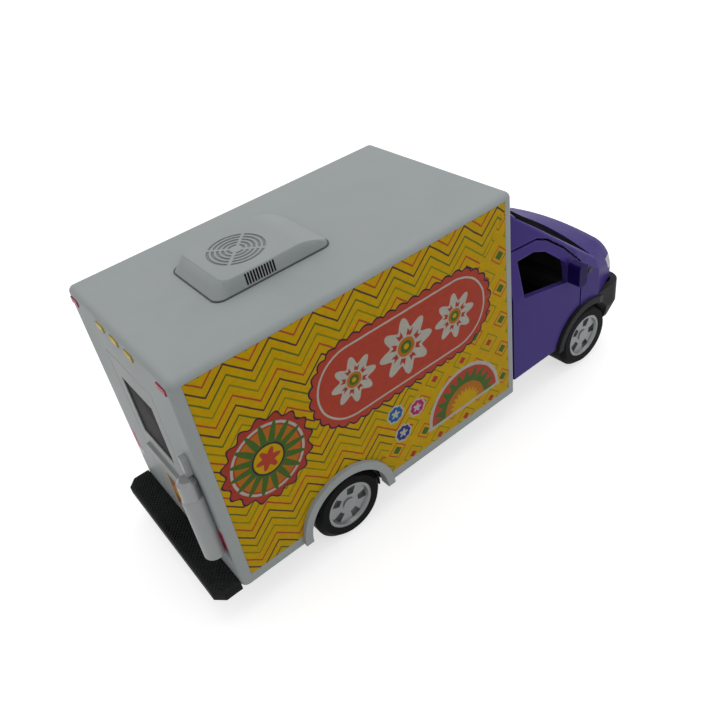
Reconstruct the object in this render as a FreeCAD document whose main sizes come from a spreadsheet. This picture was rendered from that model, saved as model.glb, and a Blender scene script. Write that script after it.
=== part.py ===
import FreeCAD, Part
import math
import os
import Sketcher

# Toy food truck, millimetres. +X is the front, +Y the left side, +Z up.
# The origin lies on the ground, under the middle of the truck.

V = FreeCAD.Vector
doc = FreeCAD.newDocument("FoodTruck")

SIZES = {
    # whole truck and running gear
    "overall_length": 130.0,
    "front_overhang": 15.5,
    "rear_overhang": 28.7,
    "wheel_radius": 8.8,
    "tyre_width": 7.0,
    "tyre_shoulder": 1.2,
    "wheel_outer_face": 21.8,
    "rim_radius": 5.9,
    "rim_lip": 0.7,
    "rim_recess": 0.6,
        "rim_cap_radius": 1.5,
    "rim_thickness": 4.2,
    "rim_web": 1.3,
    "rim_pocket_depth": 1.0,
    "rim_pocket_inner": 2.5,
    "rim_pocket_outer": 4.8,
    "rim_pocket_width": 2.5,
    "axle_radius": 1.0,
    "axle_running_gap": 0.06,
    # box body
    "box_width": 45.7,
    "box_height": 54.3,
    "box_underside": 8.9,
    "box_wall": 1.6,
    "box_round": 1.4,
    "arch_radius": 10.5,
    "arch_setback": 1.1,
    "arch_height": 9.4,
    "flare_width": 1.9,
    "flare_rise": 1.0,
    "panel_thickness": 0.3,
    "panel_side_margin": 2.3,
    "panel_top_margin": 1.5,
    "panel_bottom_margin": 2.3,
    "deck_thickness": 1.2,
    # serving hatch on the left side
    "hatch_length": 40.0,
    "hatch_drop": 10.2,
    "hatch_sill_height": 31.0,
    "hatch_front_setback": 12.0,
    "flap_thickness": 1.2,
    "flap_gap": 0.45,
    "flap_pin_radius": 0.45,
    "flap_pin_length": 1.2,
    "flap_pin_drop": 0.9,
    "counter_depth": 8.0,
    "counter_thickness": 1.2,
    # roof unit
    "unit_setback": 17.5,
    "unit_length": 26.6,
    "unit_width": 18.2,
    "unit_height": 3.3,
    "unit_seal": 0.25,
    "unit_seal_margin": 0.25,
    "unit_rear_rake": 2.3,
    "unit_crest": 21.5,
    "unit_corner": 2.2,
    "unit_side_lean": 0.4,
    "unit_nose": 0.8,
    "fan_setback": 10.6,
    "fan_radius": 5.65,
    "fan_rings": 5,
    "fan_ring_pitch": 0.95,
    "fan_slot": 0.42,
    "fan_slot_depth": 0.5,
    "fan_spoke": 0.8,
    "louvre_count": 11,
    "louvre_setback": 6.9,
    "louvre_pitch": 0.62,
    "louvre_slot": 0.32,
    "louvre_depth": 0.7,
    "louvre_base": 0.5,
    "louvre_height": 1.6,
    # back of the box
    "door_panel_width": 21.0,
    "door_panel_drop": 9.7,
    "door_panel_seat": 0.8,
    "door_panel_gap": 0.15,
    "door_bar_width": 15.0,
    "door_bar_height": 1.8,
    "door_bar_drop": 3.8,
    "door_bar_rise": 0.7,
    "rear_window_width": 13.8,
    "rear_window_height": 15.0,
    "rear_window_drop": 5.3,
    "rear_window_depth": 0.5,
    "lamp_drop": 2.5,
    "lamp_pitch": 6.5,
    "lamp_width": 3.4,
    "lamp_tall": 1.4,
    "lamp_rise": 0.25,
    "lamp_seat": 0.5,
    "clearance_lamp_spread": 19.6,
    "tail_lamp_spread": 20.1,
    "tail_lamp_width": 3.0,
    "tail_lamp_height": 6.0,
    "tail_lamp_base": 18.7,
    "reverse_lamp_height": 2.4,
    # rear step and gas bottle
    "step_depth": 6.0,
    "step_width": 43.8,
    "step_top": 10.1,
    "step_thickness": 2.5,
    "step_round": 2.0,
    "tread_pitch": 2.0,
    "tread_rib": 0.9,
    "tread_depth": 0.5,
    "bottle_radius": 2.2,
    "bottle_height": 17.2,
    "bottle_base": 17.6,
    "bottle_offset": 18.5,
    "bottle_standoff": 1.8,
    "collar_radius": 1.95,
    "collar_height": 4.6,
    "collar_bevel": 0.7,
    "regulator_width": 1.8,
    "regulator_height": 3.8,
    "regulator_depth": 1.3,
    "regulator_offset": 17.8,
    # chassis
    "chassis_height": 9.5,
    "chassis_thickness": 1.6,
    "chassis_gap": 0.2,
    "wheel_well_gap": 1.2,
    "bearer_width": 1.6,
    "bearer_length": 6.0,
    "bearer_drop": 2.9,
    "screw_hole_radius": 1.2,
    "screw_boss_radius": 2.6,
    "screw_boss_drop": 1.2,
    "screw_front_setback": 9.0,
    "screw_rear_inset": 8.5,
    "motor_length": 24.0,
    "motor_width": 20.0,
    "motor_base": 4.4,
    "motor_height": 12.4,
    "motor_rear_offset": 9.0,
    # cab
    "cab_length": 42.6,
    "cab_width": 44.0,
    "cab_sill": 11.3,
    "cab_wall": 1.5,
    "cab_crown": 56.0,
    "nose_crown": 115.0,
    "cab_roof_height": 56.9,
    "screen_top_setback": 4.4,
    "screen_top_height": 57.2,
    "cowl_setback": 32.0,
    "cowl_height": 34.6,
    "bonnet_setback": 41.0,
    "bonnet_height": 30.9,
    "nose_height": 25.5,
    "nose_round": 1.4,
    "shoulder_height": 7.0,
    "cab_lean": 3.8,
    "belt_height": 34.5,
    "cab_front_taper": 2.2,
    "cab_corner_round": 4.0,
    "ridge_round": 1.6,
    "nose_ridge_round": 6.5,
    "screen_margin": 1.6,
    "screen_side_margin": 1.9,
    "screen_wrap": 4.8,
    "screen_recess": 0.35,
    "door_gap": 0.56,
    "door_front": 24.8,
    "door_hinge_inset": 1.2,
    "door_arch_gap": 0.7,
    "door_pin_radius": 0.4,
    "door_pin_reach": 0.5,
    "mirror_reach": 4.2,
    "mirror_depth": 2.8,
    "mirror_height": 6.0,
    "mirror_base": 30.5,
    "mirror_setback": 18.8,
    "mirror_foot": 1.2,
    "headlamp_inboard": 11.5,
    "headlamp_depth": 1.2,
    "grille_width": 19.0,
    "grille_base": 22.4,
    "grille_height": 5.4,
    "grille_bars": 4,
    "grille_slot": 0.6,
    "repeater_radius": 0.8,
    "repeater_setback": 28.5,
    "repeater_height": 29.3,
    "front_arch_radius": 9.9,
    "arch_trim_width": 1.7,
    "arch_trim_drop": 1.0,
    "bumper_proud": 0.8,
    "bumper_wall": 1.6,
    "bumper_base": 8.6,
    "bumper_top": 19.8,
    "bumper_width": 43.8,
    "bumper_corner": 4.0,
    "bumper_bow": 0.5,
    "bumper_skirt": 5.0,
    "bumper_tuck": 1.8,
    "interior_gap": 0.4,
    "interior_floor": 1.4,
    "dash_length": 5.0,
    "dash_height": 17.5,
    "dash_setback": 1.2,
    "dash_bevel": 1.0,
    "dash_brow": 3.0,
    "dash_knee": 6.0,
    "dash_undercut": 1.8,
    "seat_width": 11.0,
    "seat_length": 10.0,
    "seat_base": 6.0,
    "seat_back": 18.0,
    "seat_back_thickness": 2.6,
    "seat_offset": 10.0,
    "steering_radius": 4.0,
    "steering_rim": 0.9,
    "steering_lean": 62.0,
    "steering_column": 0.7,
    "steering_reach": 2.6,
    "steering_drop": 1.2,
    "fit_gap": 0.1,
}

# Side outlines in the cab, as shares: how far back over the door's length, and how far
# up from the sill to the roof
OUTLINES = {
    "door": [(0.0, 0.0), (0.0, 0.325), (0.021, 0.49), (0.221, 0.617), (0.421, 0.708),
             (0.557, 0.742), (0.976, 0.762)],
    "window": [(0.829, 0.488), (0.205, 0.414), (0.218, 0.539), (0.459, 0.659), (0.617, 0.696),
               (0.84, 0.7)],
    "headlamp": [(0.2, 0.345), (-0.083, 0.337), (-0.083, 0.25), (0.13, 0.262)],
}

# Places that follow from the sizes
PLACES = {
    "front_end": "Sizes.overall_length / 2",
    "box_rear": "-Sizes.overall_length / 2 + Sizes.step_depth",
    "box_front": "front_end - Sizes.bumper_proud - Sizes.cab_length - Sizes.fit_gap",
    "box_long": "box_front - box_rear",
    "box_top": "Sizes.box_underside + Sizes.box_height",
    "box_side": "Sizes.box_width / 2",
    "box_inner_side": "Sizes.box_width / 2 - Sizes.box_wall",
    "front_axle": "Sizes.overall_length / 2 - Sizes.front_overhang",
    "rear_axle": "box_rear + Sizes.rear_overhang",
    "arch_middle": "rear_axle - Sizes.arch_setback",
    "wheel_middle": "Sizes.wheel_outer_face - Sizes.tyre_width / 2",
    "wheel_inner_face": "Sizes.wheel_outer_face - Sizes.tyre_width",
    "axle_end": "Sizes.wheel_outer_face - 2 * Sizes.fit_gap - Sizes.rim_recess - Sizes.rim_web",
    "deck_base": "Sizes.arch_height + Sizes.arch_radius + Sizes.fit_gap",
    "hatch_front": "box_front - Sizes.hatch_front_setback",
    "hatch_rear": "box_front - Sizes.hatch_front_setback - Sizes.hatch_length",
    "hatch_top": "box_top - Sizes.hatch_drop",
    "hatch_tall": "hatch_top - Sizes.hatch_sill_height",
    "flap_axis_side": "Sizes.box_width / 2 - Sizes.box_wall / 2",
    "flap_axis_height": "hatch_top - Sizes.flap_gap - Sizes.flap_pin_drop",
    "unit_rear": "box_rear + Sizes.unit_setback",
    "rear_door_tall": "box_top - Sizes.door_panel_drop - Sizes.step_top",
    "rear_window_top": "box_top - Sizes.door_panel_drop - Sizes.rear_window_drop",
    "rear_window_base": "rear_window_top - Sizes.rear_window_height",
    "lamp_line": "box_top - Sizes.lamp_drop",
    "step_base": "Sizes.step_top - Sizes.step_thickness",
    "bottle_line": "box_rear - Sizes.bottle_standoff",
    "cab_side": "Sizes.cab_width / 2",
    "door_hinge": "box_front + Sizes.door_front - Sizes.door_hinge_inset",
    "door_hinge_side": "Sizes.cab_width / 2 - 0.52 * Sizes.cab_wall",
    "front_screw": "box_front - Sizes.screw_front_setback",
    "rear_screw": "box_rear + Sizes.screw_rear_inset",
}


def fill_sheet(name, rows):
    """Writes a spreadsheet whose second column holds the values under their names."""
    sheet = doc.addObject("Spreadsheet::Sheet", name)
    for row, (alias, content) in enumerate(rows.items(), start=1):
        sheet.set(f"A{row}", alias)
        sheet.set(f"B{row}", content)
        sheet.setAlias(f"B{row}", alias)
    doc.recompute()
    return sheet


sizes = fill_sheet("Sizes", {alias: str(value) for alias, value in SIZES.items()})
places = fill_sheet("Places", {alias: "=" + formula for alias, formula in PLACES.items()})

nodes = []


def size(alias):
    return float(getattr(sizes, alias))


def place(alias):
    return float(getattr(places, alias))


def bind(item, **formulas):
    """Ties properties of an object to formulas; two underscores stand for a dot."""
    for prop, formula in formulas.items():
        item.setExpression(prop.replace("__", "."), formula)
    return item


def locate(item, x="0", y="0", z="0"):
    return bind(item, Placement__Base__x=x, Placement__Base__y=y, Placement__Base__z=z)


def block(name, length, width, height, x, y, z):
    """A box with its low corner at x, y, z."""
    item = doc.addObject("Part::Box", name)
    bind(item, Length=length, Width=width, Height=height)
    return locate(item, x, y, z)


def rod(name, radius, length, x, y, z, turn=None):
    """A cylinder along Z, or turned: "x" or "y" lays it along that axis."""
    item = doc.addObject("Part::Cylinder", name)
    if turn == "x":
        item.Placement = FreeCAD.Placement(V(), FreeCAD.Rotation(V(0, 1, 0), 90))
    if turn == "y":
        item.Placement = FreeCAD.Placement(V(), FreeCAD.Rotation(V(1, 0, 0), -90))
    bind(item, Radius=radius, Height=length)
    return locate(item, x, y, z)


def fuse(name, pieces):
    item = doc.addObject("Part::MultiFuse", name)
    item.Shapes = pieces
    item.Refine = True
    return item


def cut(name, base, tools):
    """The base less one tool, or less several tools fused first."""
    item = doc.addObject("Part::Cut", name)
    item.Base = base
    item.Tool = tools[0] if len(tools) == 1 else fuse(name + "Tools", tools)
    item.Refine = True
    return item


def solid(name, shape):
    """A feature with a worked-out shape, placed where the shape already is."""
    item = doc.addObject("Part::Feature", name)
    item.Shape = shape
    item.Placement = FreeCAD.Placement()
    return item


def node(item, label):
    item.Label = label
    nodes.append(item)
    return item


def sketch_on(body, name, role, lift="0"):
    """A sketch on one of the body's own origin planes, lifted along its normal."""
    sketch = body.newObject("Sketcher::SketchObject", name)
    plane = [feature for feature in body.Origin.OriginFeatures if feature.Role == role][0]
    sketch.AttachmentSupport = [(plane, "")]
    sketch.MapMode = "FlatFace"
    sketch.setExpression("AttachmentOffset.Base.z", lift)
    return sketch


def draw_outline(sketch, corners):
    """A closed outline of straight lines through corners, each given by two formulas."""
    first = sketch.GeometryCount
    count = len(corners)
    start = [
        V(math.cos(2 * math.pi * step / count), math.sin(2 * math.pi * step / count), 0)
        for step in range(count)
    ]
    for step in range(count):
        sketch.addGeometry(Part.LineSegment(start[step], start[(step + 1) % count]), False)
    for step in range(count):
        ends = (first + step, 2, first + (step + 1) % count, 1)
        sketch.addConstraint(Sketcher.Constraint("Coincident", *ends))
    for step, corner in enumerate(corners):
        for kind, formula in zip(("DistanceX", "DistanceY"), corner):
            rule = Sketcher.Constraint(kind, -1, 1, first + step, 1, 1.0)
            index = sketch.addConstraint(rule)
            sketch.setExpression(f"Constraints[{index}]", formula)
    return sketch


def body_of(name):
    return doc.addObject("PartDesign::Body", name)


def pad(body, name, sketch, length, midplane=False):
    item = body.newObject("PartDesign::Pad", name)
    item.Profile = sketch
    item.Midplane = midplane
    return bind(item, Length=length)


def pocket(body, name, sketch, length, reverse=False):
    item = body.newObject("PartDesign::Pocket", name)
    item.Profile = sketch
    item.Reversed = reverse
    return bind(item, Length=length)


def revolution(body, name, sketch):
    item = body.newObject("PartDesign::Revolution", name)
    item.Profile = sketch
    item.ReferenceAxis = (sketch, ["V_Axis"])
    item.Angle = 360
    return item


def edge_names(shape, test):
    """Names of the edges whose middle point and direction pass a test."""
    names = []
    for index, edge in enumerate(shape.Edges, start=1):
        middle = edge.valueAt((edge.FirstParameter + edge.LastParameter) / 2)
        if test(middle, edge):
            names.append(f"Edge{index}")
    return names


def fillet(body, name, base, test, radius):
    """A rounding on the edges of a body's last feature that pass a test."""
    doc.recompute()
    item = body.newObject("PartDesign::Fillet", name)
    item.Base = (base, edge_names(base.Shape, test))
    return bind(item, Radius=radius)


def near(first, second, margin=0.01):
    return abs(first - second) < margin


def runs_along(edge, direction):
    """True for a straight edge that runs along a direction."""
    if edge.Curve.TypeId != "Part::GeomLine":
        return False
    return abs(abs(edge.Curve.Direction.dot(direction)) - 1) < 0.001


# Box body: a moulded hood, open below, with flares round the rear wheels


def make_box_shell():
    body = body_of("BoxShell")
    outline = sketch_on(body, "BoxOutline", "XY_Plane", "Sizes.box_underside")
    draw_outline(outline, [
        ("Places.box_rear", "-Places.box_side"),
        ("Places.box_front", "-Places.box_side"),
        ("Places.box_front", "Places.box_side"),
        ("Places.box_rear", "Places.box_side"),
    ])
    hood = pad(body, "BoxHood", outline, "Sizes.box_height")

    def outer_edge(middle, edge):
        upright = runs_along(edge, V(0, 0, 1))
        return upright or middle.z > place("box_top") - size("box_round")

    rounded = fillet(body, "BoxRounding", hood, outer_edge, "Sizes.box_round")
    doc.recompute()
    hollow_outline = sketch_on(body, "HollowOutline", "XY_Plane", "Sizes.box_underside")
    draw_outline(hollow_outline, [
        ("Places.box_rear + Sizes.box_wall", "-Places.box_inner_side"),
        ("Places.box_front - Sizes.box_wall", "-Places.box_inner_side"),
        ("Places.box_front - Sizes.box_wall", "Places.box_inner_side"),
        ("Places.box_rear + Sizes.box_wall", "Places.box_inner_side"),
    ])
    depth = "Sizes.box_height - Sizes.box_wall"
    hollow = pocket(body, "BoxHollow", hollow_outline, depth, reverse=True)
    doc.recompute()
    body.Tip = hollow

    flare_width = "Sizes.box_width + 2 * Sizes.flare_rise"
    flare = rod(
        "FlareDisc", "Sizes.arch_radius + Sizes.flare_width", flare_width,
        "Places.arch_middle", f"-({flare_width}) / 2", "Sizes.arch_height", "y",
    )
    flare_ends = block(
        "FlareEnds", "4 * Sizes.arch_radius", f"2 * ({flare_width})", "2 * Sizes.arch_radius",
        "Places.arch_middle - 2 * Sizes.arch_radius", f"-({flare_width})",
        "Sizes.box_underside - 2 * Sizes.arch_radius",
    )
    flare_core = block(
        "FlareCore", "4 * Sizes.arch_radius", "2 * (Places.box_inner_side + Sizes.box_wall / 2)",
        "4 * Sizes.arch_radius", "Places.arch_middle - 2 * Sizes.arch_radius",
        "-(Places.box_inner_side + Sizes.box_wall / 2)", "Sizes.box_underside",
    )
    flares = cut("WheelFlares", flare, [flare_ends, flare_core])
    joined = fuse("FlaredBox", [body, flares])

    arch = rod(
        "RearArch", "Sizes.arch_radius", f"2 * ({flare_width})",
        "Places.arch_middle", f"-({flare_width})", "Sizes.arch_height", "y",
    )
    hatch = block(
        "HatchOpening", "Sizes.hatch_length", "3 * Sizes.box_wall", "Places.hatch_tall",
        "Places.hatch_rear", "Places.box_side - 2 * Sizes.box_wall", "Sizes.hatch_sill_height",
    )
    pin_reach = "Sizes.flap_pin_length - Sizes.flap_gap + Sizes.fit_gap"
    pin_holes = rod(
        "FlapPinHoles", "Sizes.flap_pin_radius + Sizes.axle_running_gap",
        f"Sizes.hatch_length + 2 * ({pin_reach})", f"Places.hatch_rear - ({pin_reach})",
        "Places.flap_axis_side", "Places.flap_axis_height", "x",
    )
    door_seat = block(
        "DoorSeat", "2 * Sizes.door_panel_seat", "Sizes.door_panel_width",
        "Places.rear_door_tall", "Places.box_rear - Sizes.door_panel_seat",
        "-Sizes.door_panel_width / 2", "Sizes.step_top",
    )
    half_front = "Places.cab_side - Sizes.cab_wall"
    chassis_notch = block(
        "ChassisNotch", "2 * Sizes.box_wall", f"2 * ({half_front})",
        "Sizes.chassis_height + Sizes.chassis_thickness + Sizes.chassis_gap",
        "Places.box_front - 1.5 * Sizes.box_wall", f"-({half_front})", "0",
    )
    seats = [arch, hatch, pin_holes, door_seat, chassis_notch]
    seats += panel_blanks("PanelSeat", "0")
    seats += marker_blanks("MarkerSeat", "0", "Sizes.lamp_seat")
    seats += clearance_blanks("ClearanceSeat", "0", "Sizes.lamp_seat")
    seats += tail_blanks("TailSeat", "0", "Sizes.lamp_seat")
    node(cut("BoxBody", joined, seats), "box_shell")


# Printed side panels, set in shallow seats in the box sides


def panel_blanks(name, gap):
    """One flat block for each side, as long and tall as the panel less a gap all round."""
    blanks = []
    for side, sign in (("Left", "1"), ("Right", "-1")):
        blanks.append(block(
            name + side,
            f"Places.box_long - 2 * (Sizes.panel_side_margin + {gap})",
            "Sizes.panel_thickness",
            f"Sizes.box_height - Sizes.panel_top_margin - Sizes.panel_bottom_margin - 2 * {gap}",
            f"Places.box_rear + Sizes.panel_side_margin + {gap}",
            f"{sign} * (Places.box_side - Sizes.panel_thickness / 2) - Sizes.panel_thickness / 2",
            f"Sizes.box_underside + Sizes.panel_bottom_margin + {gap}",
        ))
    return blanks


def make_side_panels():
    blanks = panel_blanks("PanelBlank", "Sizes.fit_gap / 2")
    flare = "Sizes.arch_radius + Sizes.flare_width + Sizes.fit_gap / 2"
    for blank, side in zip(blanks, ("left", "right")):
        tools = [rod(
            f"PanelArch{side}", flare, "2 * Sizes.box_width", "Places.arch_middle",
            "-Sizes.box_width", "Sizes.arch_height", "y",
        )]
        if side == "left":
            tools.append(block(
                "PanelHatch", "Sizes.hatch_length", "Sizes.box_width", "Places.hatch_tall",
                "Places.hatch_rear", "0", "Sizes.hatch_sill_height",
            ))
        node(cut(f"Panel{side}", blank, tools), f"side_panel_{side}")


# Serving flap on two pins at its top edge, and the ledge inside the hatch


def make_serving_hatch():
    panel = block(
        "FlapPanel", "Sizes.hatch_length - 2 * Sizes.flap_gap", "Sizes.flap_thickness",
        "Places.hatch_tall - 2 * Sizes.flap_gap", "Places.hatch_rear + Sizes.flap_gap",
        "Places.box_side - Sizes.flap_thickness", "Sizes.hatch_sill_height + Sizes.flap_gap",
    )
    reach = "Sizes.flap_pin_length - Sizes.flap_gap"
    pin = rod(
        "FlapPin", "Sizes.flap_pin_radius", f"Sizes.hatch_length + 2 * ({reach})",
        f"Places.hatch_rear - ({reach})", "Places.flap_axis_side",
        "Places.flap_axis_height", "x",
    )
    node(fuse("Flap", [panel, pin]), "serving_flap")
    node(block(
        "Counter", "Sizes.hatch_length", "Sizes.counter_depth", "Sizes.counter_thickness",
        "Places.hatch_rear", "Places.box_inner_side - Sizes.counter_depth - Sizes.fit_gap",
        "Sizes.hatch_sill_height - Sizes.counter_thickness - Sizes.fit_gap",
    ), "serving_counter")


def make_box_floor():
    node(block(
        "BoxFloor", "Places.box_long - 2 * (Sizes.box_wall + Sizes.fit_gap)",
        "2 * (Places.box_inner_side - Sizes.fit_gap)", "Sizes.deck_thickness",
        "Places.box_rear + Sizes.box_wall + Sizes.fit_gap",
        "-(Places.box_inner_side - Sizes.fit_gap)", "Places.deck_base",
    ), "box_floor")


# Roof unit: raked back, flat crest, long curve down to the front


def rounded_plan(rear, front, half, radius, z):
    """A flat outline, straight-sided with four rounded corners, at one height."""
    corners = [V(rear, -half, z), V(front, -half, z), V(front, half, z), V(rear, half, z)]
    arcs = [
        rounded_corner(corners[index - 1], corner, corners[(index + 1) % 4], radius)
        for index, corner in enumerate(corners)
    ]
    edges = []
    for index, (start, middle, end) in enumerate(arcs):
        edges.append(Part.LineSegment(arcs[index - 1][2], start).toShape())
        edges.append(Part.Arc(start, middle, end).toShape())
    return Part.Wire(edges)


def round_prism(radius, depth, base, sides=24):
    """A prism along Z with many sides, for a small round form that is repeated often."""
    turns = [2 * math.pi * step / sides for step in range(sides + 1)]
    rim = [base + V(radius * math.cos(turn), radius * math.sin(turn), 0) for turn in turns]
    return Part.Face(Part.makePolygon(rim)).extrude(V(0, 0, depth))


def fan_grooves(middle, floor, depth):
    """Round grooves, each broken four times by a cross of spokes."""
    reach = size("fan_radius") + size("fan_slot")
    spoke = size("fan_spoke")
    cross = box_between(middle - reach, middle + reach, -spoke / 2, spoke / 2, floor, floor + depth)
    cross = cross.fuse(box_between(
        middle - spoke / 2, middle + spoke / 2, -reach, reach, floor, floor + depth,
    ))
    grooves = []
    for ring in range(int(size("fan_rings"))):
        outer = size("fan_radius") - ring * size("fan_ring_pitch")
        groove = round_prism(outer, depth, V(middle, 0, floor))
        groove = groove.cut(round_prism(outer - size("fan_slot"), depth, V(middle, 0, floor)))
        grooves.append(groove.cut(cross))
    return grooves


def make_roof_unit():
    rear = place("unit_rear")
    base = place("box_top") + size("unit_seal")
    top = place("box_top") + size("unit_height")
    front = rear + size("unit_length")
    half = size("unit_width") / 2
    corner = size("unit_corner")
    foot = rounded_plan(rear, front, half, corner, base)
    crown = rounded_plan(
        rear + size("unit_rear_rake"), front, half - size("unit_side_lean"), corner, top,
    )
    housing = Part.makeLoft([foot, crown], True, True)
    crest = rear + size("unit_crest")
    nose = base + size("unit_nose")
    shoulder = V(crest + 0.7 * (front - crest), -half, top - 0.35 * (top - nose))
    slope = [
        Part.Arc(V(crest, -half, top), shoulder, V(front, -half, nose)).toShape(),
        Part.makeLine(V(front, -half, nose), V(front, -half, top)),
        Part.makeLine(V(front, -half, top), V(crest, -half, top)),
    ]
    above = Part.Face(Part.Wire(slope)).extrude(V(0, 2 * half, 0))

    slots = []
    low = base + size("louvre_base")
    for index in range(int(size("louvre_count"))):
        x = rear + size("louvre_setback") + index * size("louvre_pitch")
        for side in (-half, half - size("louvre_depth")):
            slots.append(box_between(
                x, x + size("louvre_slot"), side, side + size("louvre_depth"),
                low, low + size("louvre_height"),
            ))
    depth = size("fan_slot_depth")
    slots += fan_grooves(rear + size("fan_setback"), top - depth, depth)
    housing = housing.cut(above).cut(Part.makeCompound(slots))
    node(solid("RoofUnit", housing), "roof_unit")

    margin = size("unit_seal_margin")
    seal = rounded_plan(rear - margin, front + margin, half + margin, corner, place("box_top"))
    seal = Part.Face(seal).extrude(V(0, 0, size("unit_seal")))
    node(solid("RoofUnitSeal", seal), "roof_unit_seal")


# Back of the box: door panel with its window, and the lamps


def make_rear_door():
    gap = "Sizes.door_panel_gap"
    panel = block(
        "RearDoorPanel", "Sizes.door_panel_seat - Sizes.fit_gap / 2",
        f"Sizes.door_panel_width - 2 * {gap}", f"Places.rear_door_tall - 2 * {gap}",
        "Places.box_rear", f"-Sizes.door_panel_width / 2 + {gap}", f"Sizes.step_top + {gap}",
    )
    bar = block(
        "RearDoorBar", "Sizes.door_bar_rise + Sizes.door_panel_seat / 2",
        "Sizes.door_bar_width", "Sizes.door_bar_height",
        "Places.box_rear - Sizes.door_bar_rise", "-Sizes.door_bar_width / 2",
        "Places.rear_window_base - Sizes.door_bar_drop - Sizes.door_bar_height",
    )
    window = block(
        "RearWindowSeat", "Sizes.rear_window_depth", "Sizes.rear_window_width",
        "Sizes.rear_window_height", "Places.box_rear",
        "-Sizes.rear_window_width / 2", "Places.rear_window_base",
    )
    node(cut("RearDoor", fuse("RearDoorBlank", [panel, bar]), [window]), "rear_door")
    node(block(
        "RearWindow", "Sizes.rear_window_depth / 2", "Sizes.rear_window_width - Sizes.fit_gap",
        "Sizes.rear_window_height - Sizes.fit_gap",
        "Places.box_rear + Sizes.rear_window_depth / 2 - Sizes.fit_gap / 4",
        "-Sizes.rear_window_width / 2 + Sizes.fit_gap / 2",
        "Places.rear_window_base + Sizes.fit_gap / 2",
    ), "rear_window")


def lamp_block(name, width, height, y, z, rise, seat, gap):
    """A lamp lens that stands out of the back wall and sits in it."""
    return block(
        name, f"{rise} + {seat}", f"{width} - {gap}", f"{height} - {gap}",
        f"Places.box_rear - {rise}", f"{y} - ({width} - {gap}) / 2",
        f"{z} - ({height} - {gap}) / 2",
    )


def marker_blanks(name, rise, seat, gap="0"):
    return [
        lamp_block(
            f"{name}{step + 1}", "Sizes.lamp_width", "Sizes.lamp_tall",
            f"({step}) * Sizes.lamp_pitch", "Places.lamp_line", rise, seat, gap,
        )
        for step in (-1, 0, 1)
    ]


def clearance_blanks(name, rise, seat, gap="0"):
    return [
        lamp_block(
            f"{name}{side}", "Sizes.lamp_width", "Sizes.lamp_tall",
            f"({sign}) * Sizes.clearance_lamp_spread", "Places.lamp_line", rise, seat, gap,
        )
        for side, sign in (("Left", 1), ("Right", -1))
    ]


def tail_blanks(name, rise, seat, gap="0"):
    """One seat on each side for the red lens and the white reversing lens right below it."""
    blanks = []
    for side, sign in (("Left", 1), ("Right", -1)):
        blanks.append(lamp_block(
            f"{name}{side}", "Sizes.tail_lamp_width",
            "(Sizes.tail_lamp_height + Sizes.reverse_lamp_height)",
            f"({sign}) * Sizes.tail_lamp_spread",
            "(Sizes.tail_lamp_base + Sizes.tail_lamp_height / 2 - Sizes.reverse_lamp_height / 2)",
            rise, seat, gap,
        ))
    return blanks


def make_rear_lamps():
    """Roof-edge lamps that stand a little proud, and flush lamps low on both sides."""
    seat = "(Sizes.lamp_seat - Sizes.fit_gap / 2)"
    markers = marker_blanks("Marker", "Sizes.lamp_rise", seat, "Sizes.fit_gap")
    node(fuse("MarkerLamps", markers), "marker_lamps")
    reds = clearance_blanks("Clearance", "Sizes.lamp_rise", seat, "Sizes.fit_gap")
    node(fuse("ClearanceLamps", reds), "clearance_lamps")
    tails = []
    whites = []
    for side, sign in (("Left", 1), ("Right", -1)):
        y = f"({sign}) * Sizes.tail_lamp_spread"
        tails.append(lamp_block(
            f"Tail{side}", "Sizes.tail_lamp_width", "Sizes.tail_lamp_height", y,
            "(Sizes.tail_lamp_base + Sizes.tail_lamp_height / 2)", "0", seat, "Sizes.fit_gap",
        ))
        whites.append(lamp_block(
            f"Reverse{side}", "Sizes.tail_lamp_width", "Sizes.reverse_lamp_height", y,
            "(Sizes.tail_lamp_base - Sizes.reverse_lamp_height / 2)", "0", seat, "Sizes.fit_gap",
        ))
    node(fuse("TailLamps", tails), "tail_lamps")
    node(fuse("ReverseLamps", whites), "reverse_lamps")


# Rear step with raised tread ribs


def make_rear_step():
    body = body_of("RearStep")
    outline = sketch_on(body, "StepOutline", "XY_Plane", "Places.step_base")
    half = "Sizes.step_width / 2"
    draw_outline(outline, [
        ("-Places.front_end", f"-{half} + Sizes.step_round"),
        ("-Places.front_end + Sizes.step_round", f"-{half}"),
        ("Places.box_rear - Sizes.fit_gap", f"-{half}"),
        ("Places.box_rear - Sizes.fit_gap", half),
        ("-Places.front_end + Sizes.step_round", half),
        ("-Places.front_end", f"{half} - Sizes.step_round"),
    ])
    pad(body, "StepPlate", outline, "Sizes.step_thickness - Sizes.tread_depth")
    count = int(size("step_width") / size("tread_pitch")) - 1
    rib = sketch_on(body, "TreadRib", "XY_Plane", "Sizes.step_top - Sizes.tread_depth")
    length = "Sizes.step_depth - 2 * Sizes.tread_rib"
    start = "-Places.front_end + Sizes.tread_rib"
    side = f"-({count} - 1) / 2 * Sizes.tread_pitch"
    draw_outline(rib, [
        (start, f"{side} - Sizes.tread_rib / 2"),
        (f"{start} + {length}", f"{side} - Sizes.tread_rib / 2"),
        (f"{start} + {length}", f"{side} + Sizes.tread_rib / 2"),
        (start, f"{side} + Sizes.tread_rib / 2"),
    ])
    ridge = pad(body, "TreadRidge", rib, "Sizes.tread_depth")
    doc.recompute()
    pattern = body.newObject("PartDesign::LinearPattern", "TreadPattern")
    pattern.Originals = [ridge]
    pattern.Direction = (rib, ["V_Axis"])
    bind(pattern, Length=f"({count} - 1) * Sizes.tread_pitch")
    pattern.Occurrences = count
    body.Tip = pattern
    node(body, "rear_step")


# Gas bottle with its cap, and the regulator above it, all with a flat back on the wall


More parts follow.
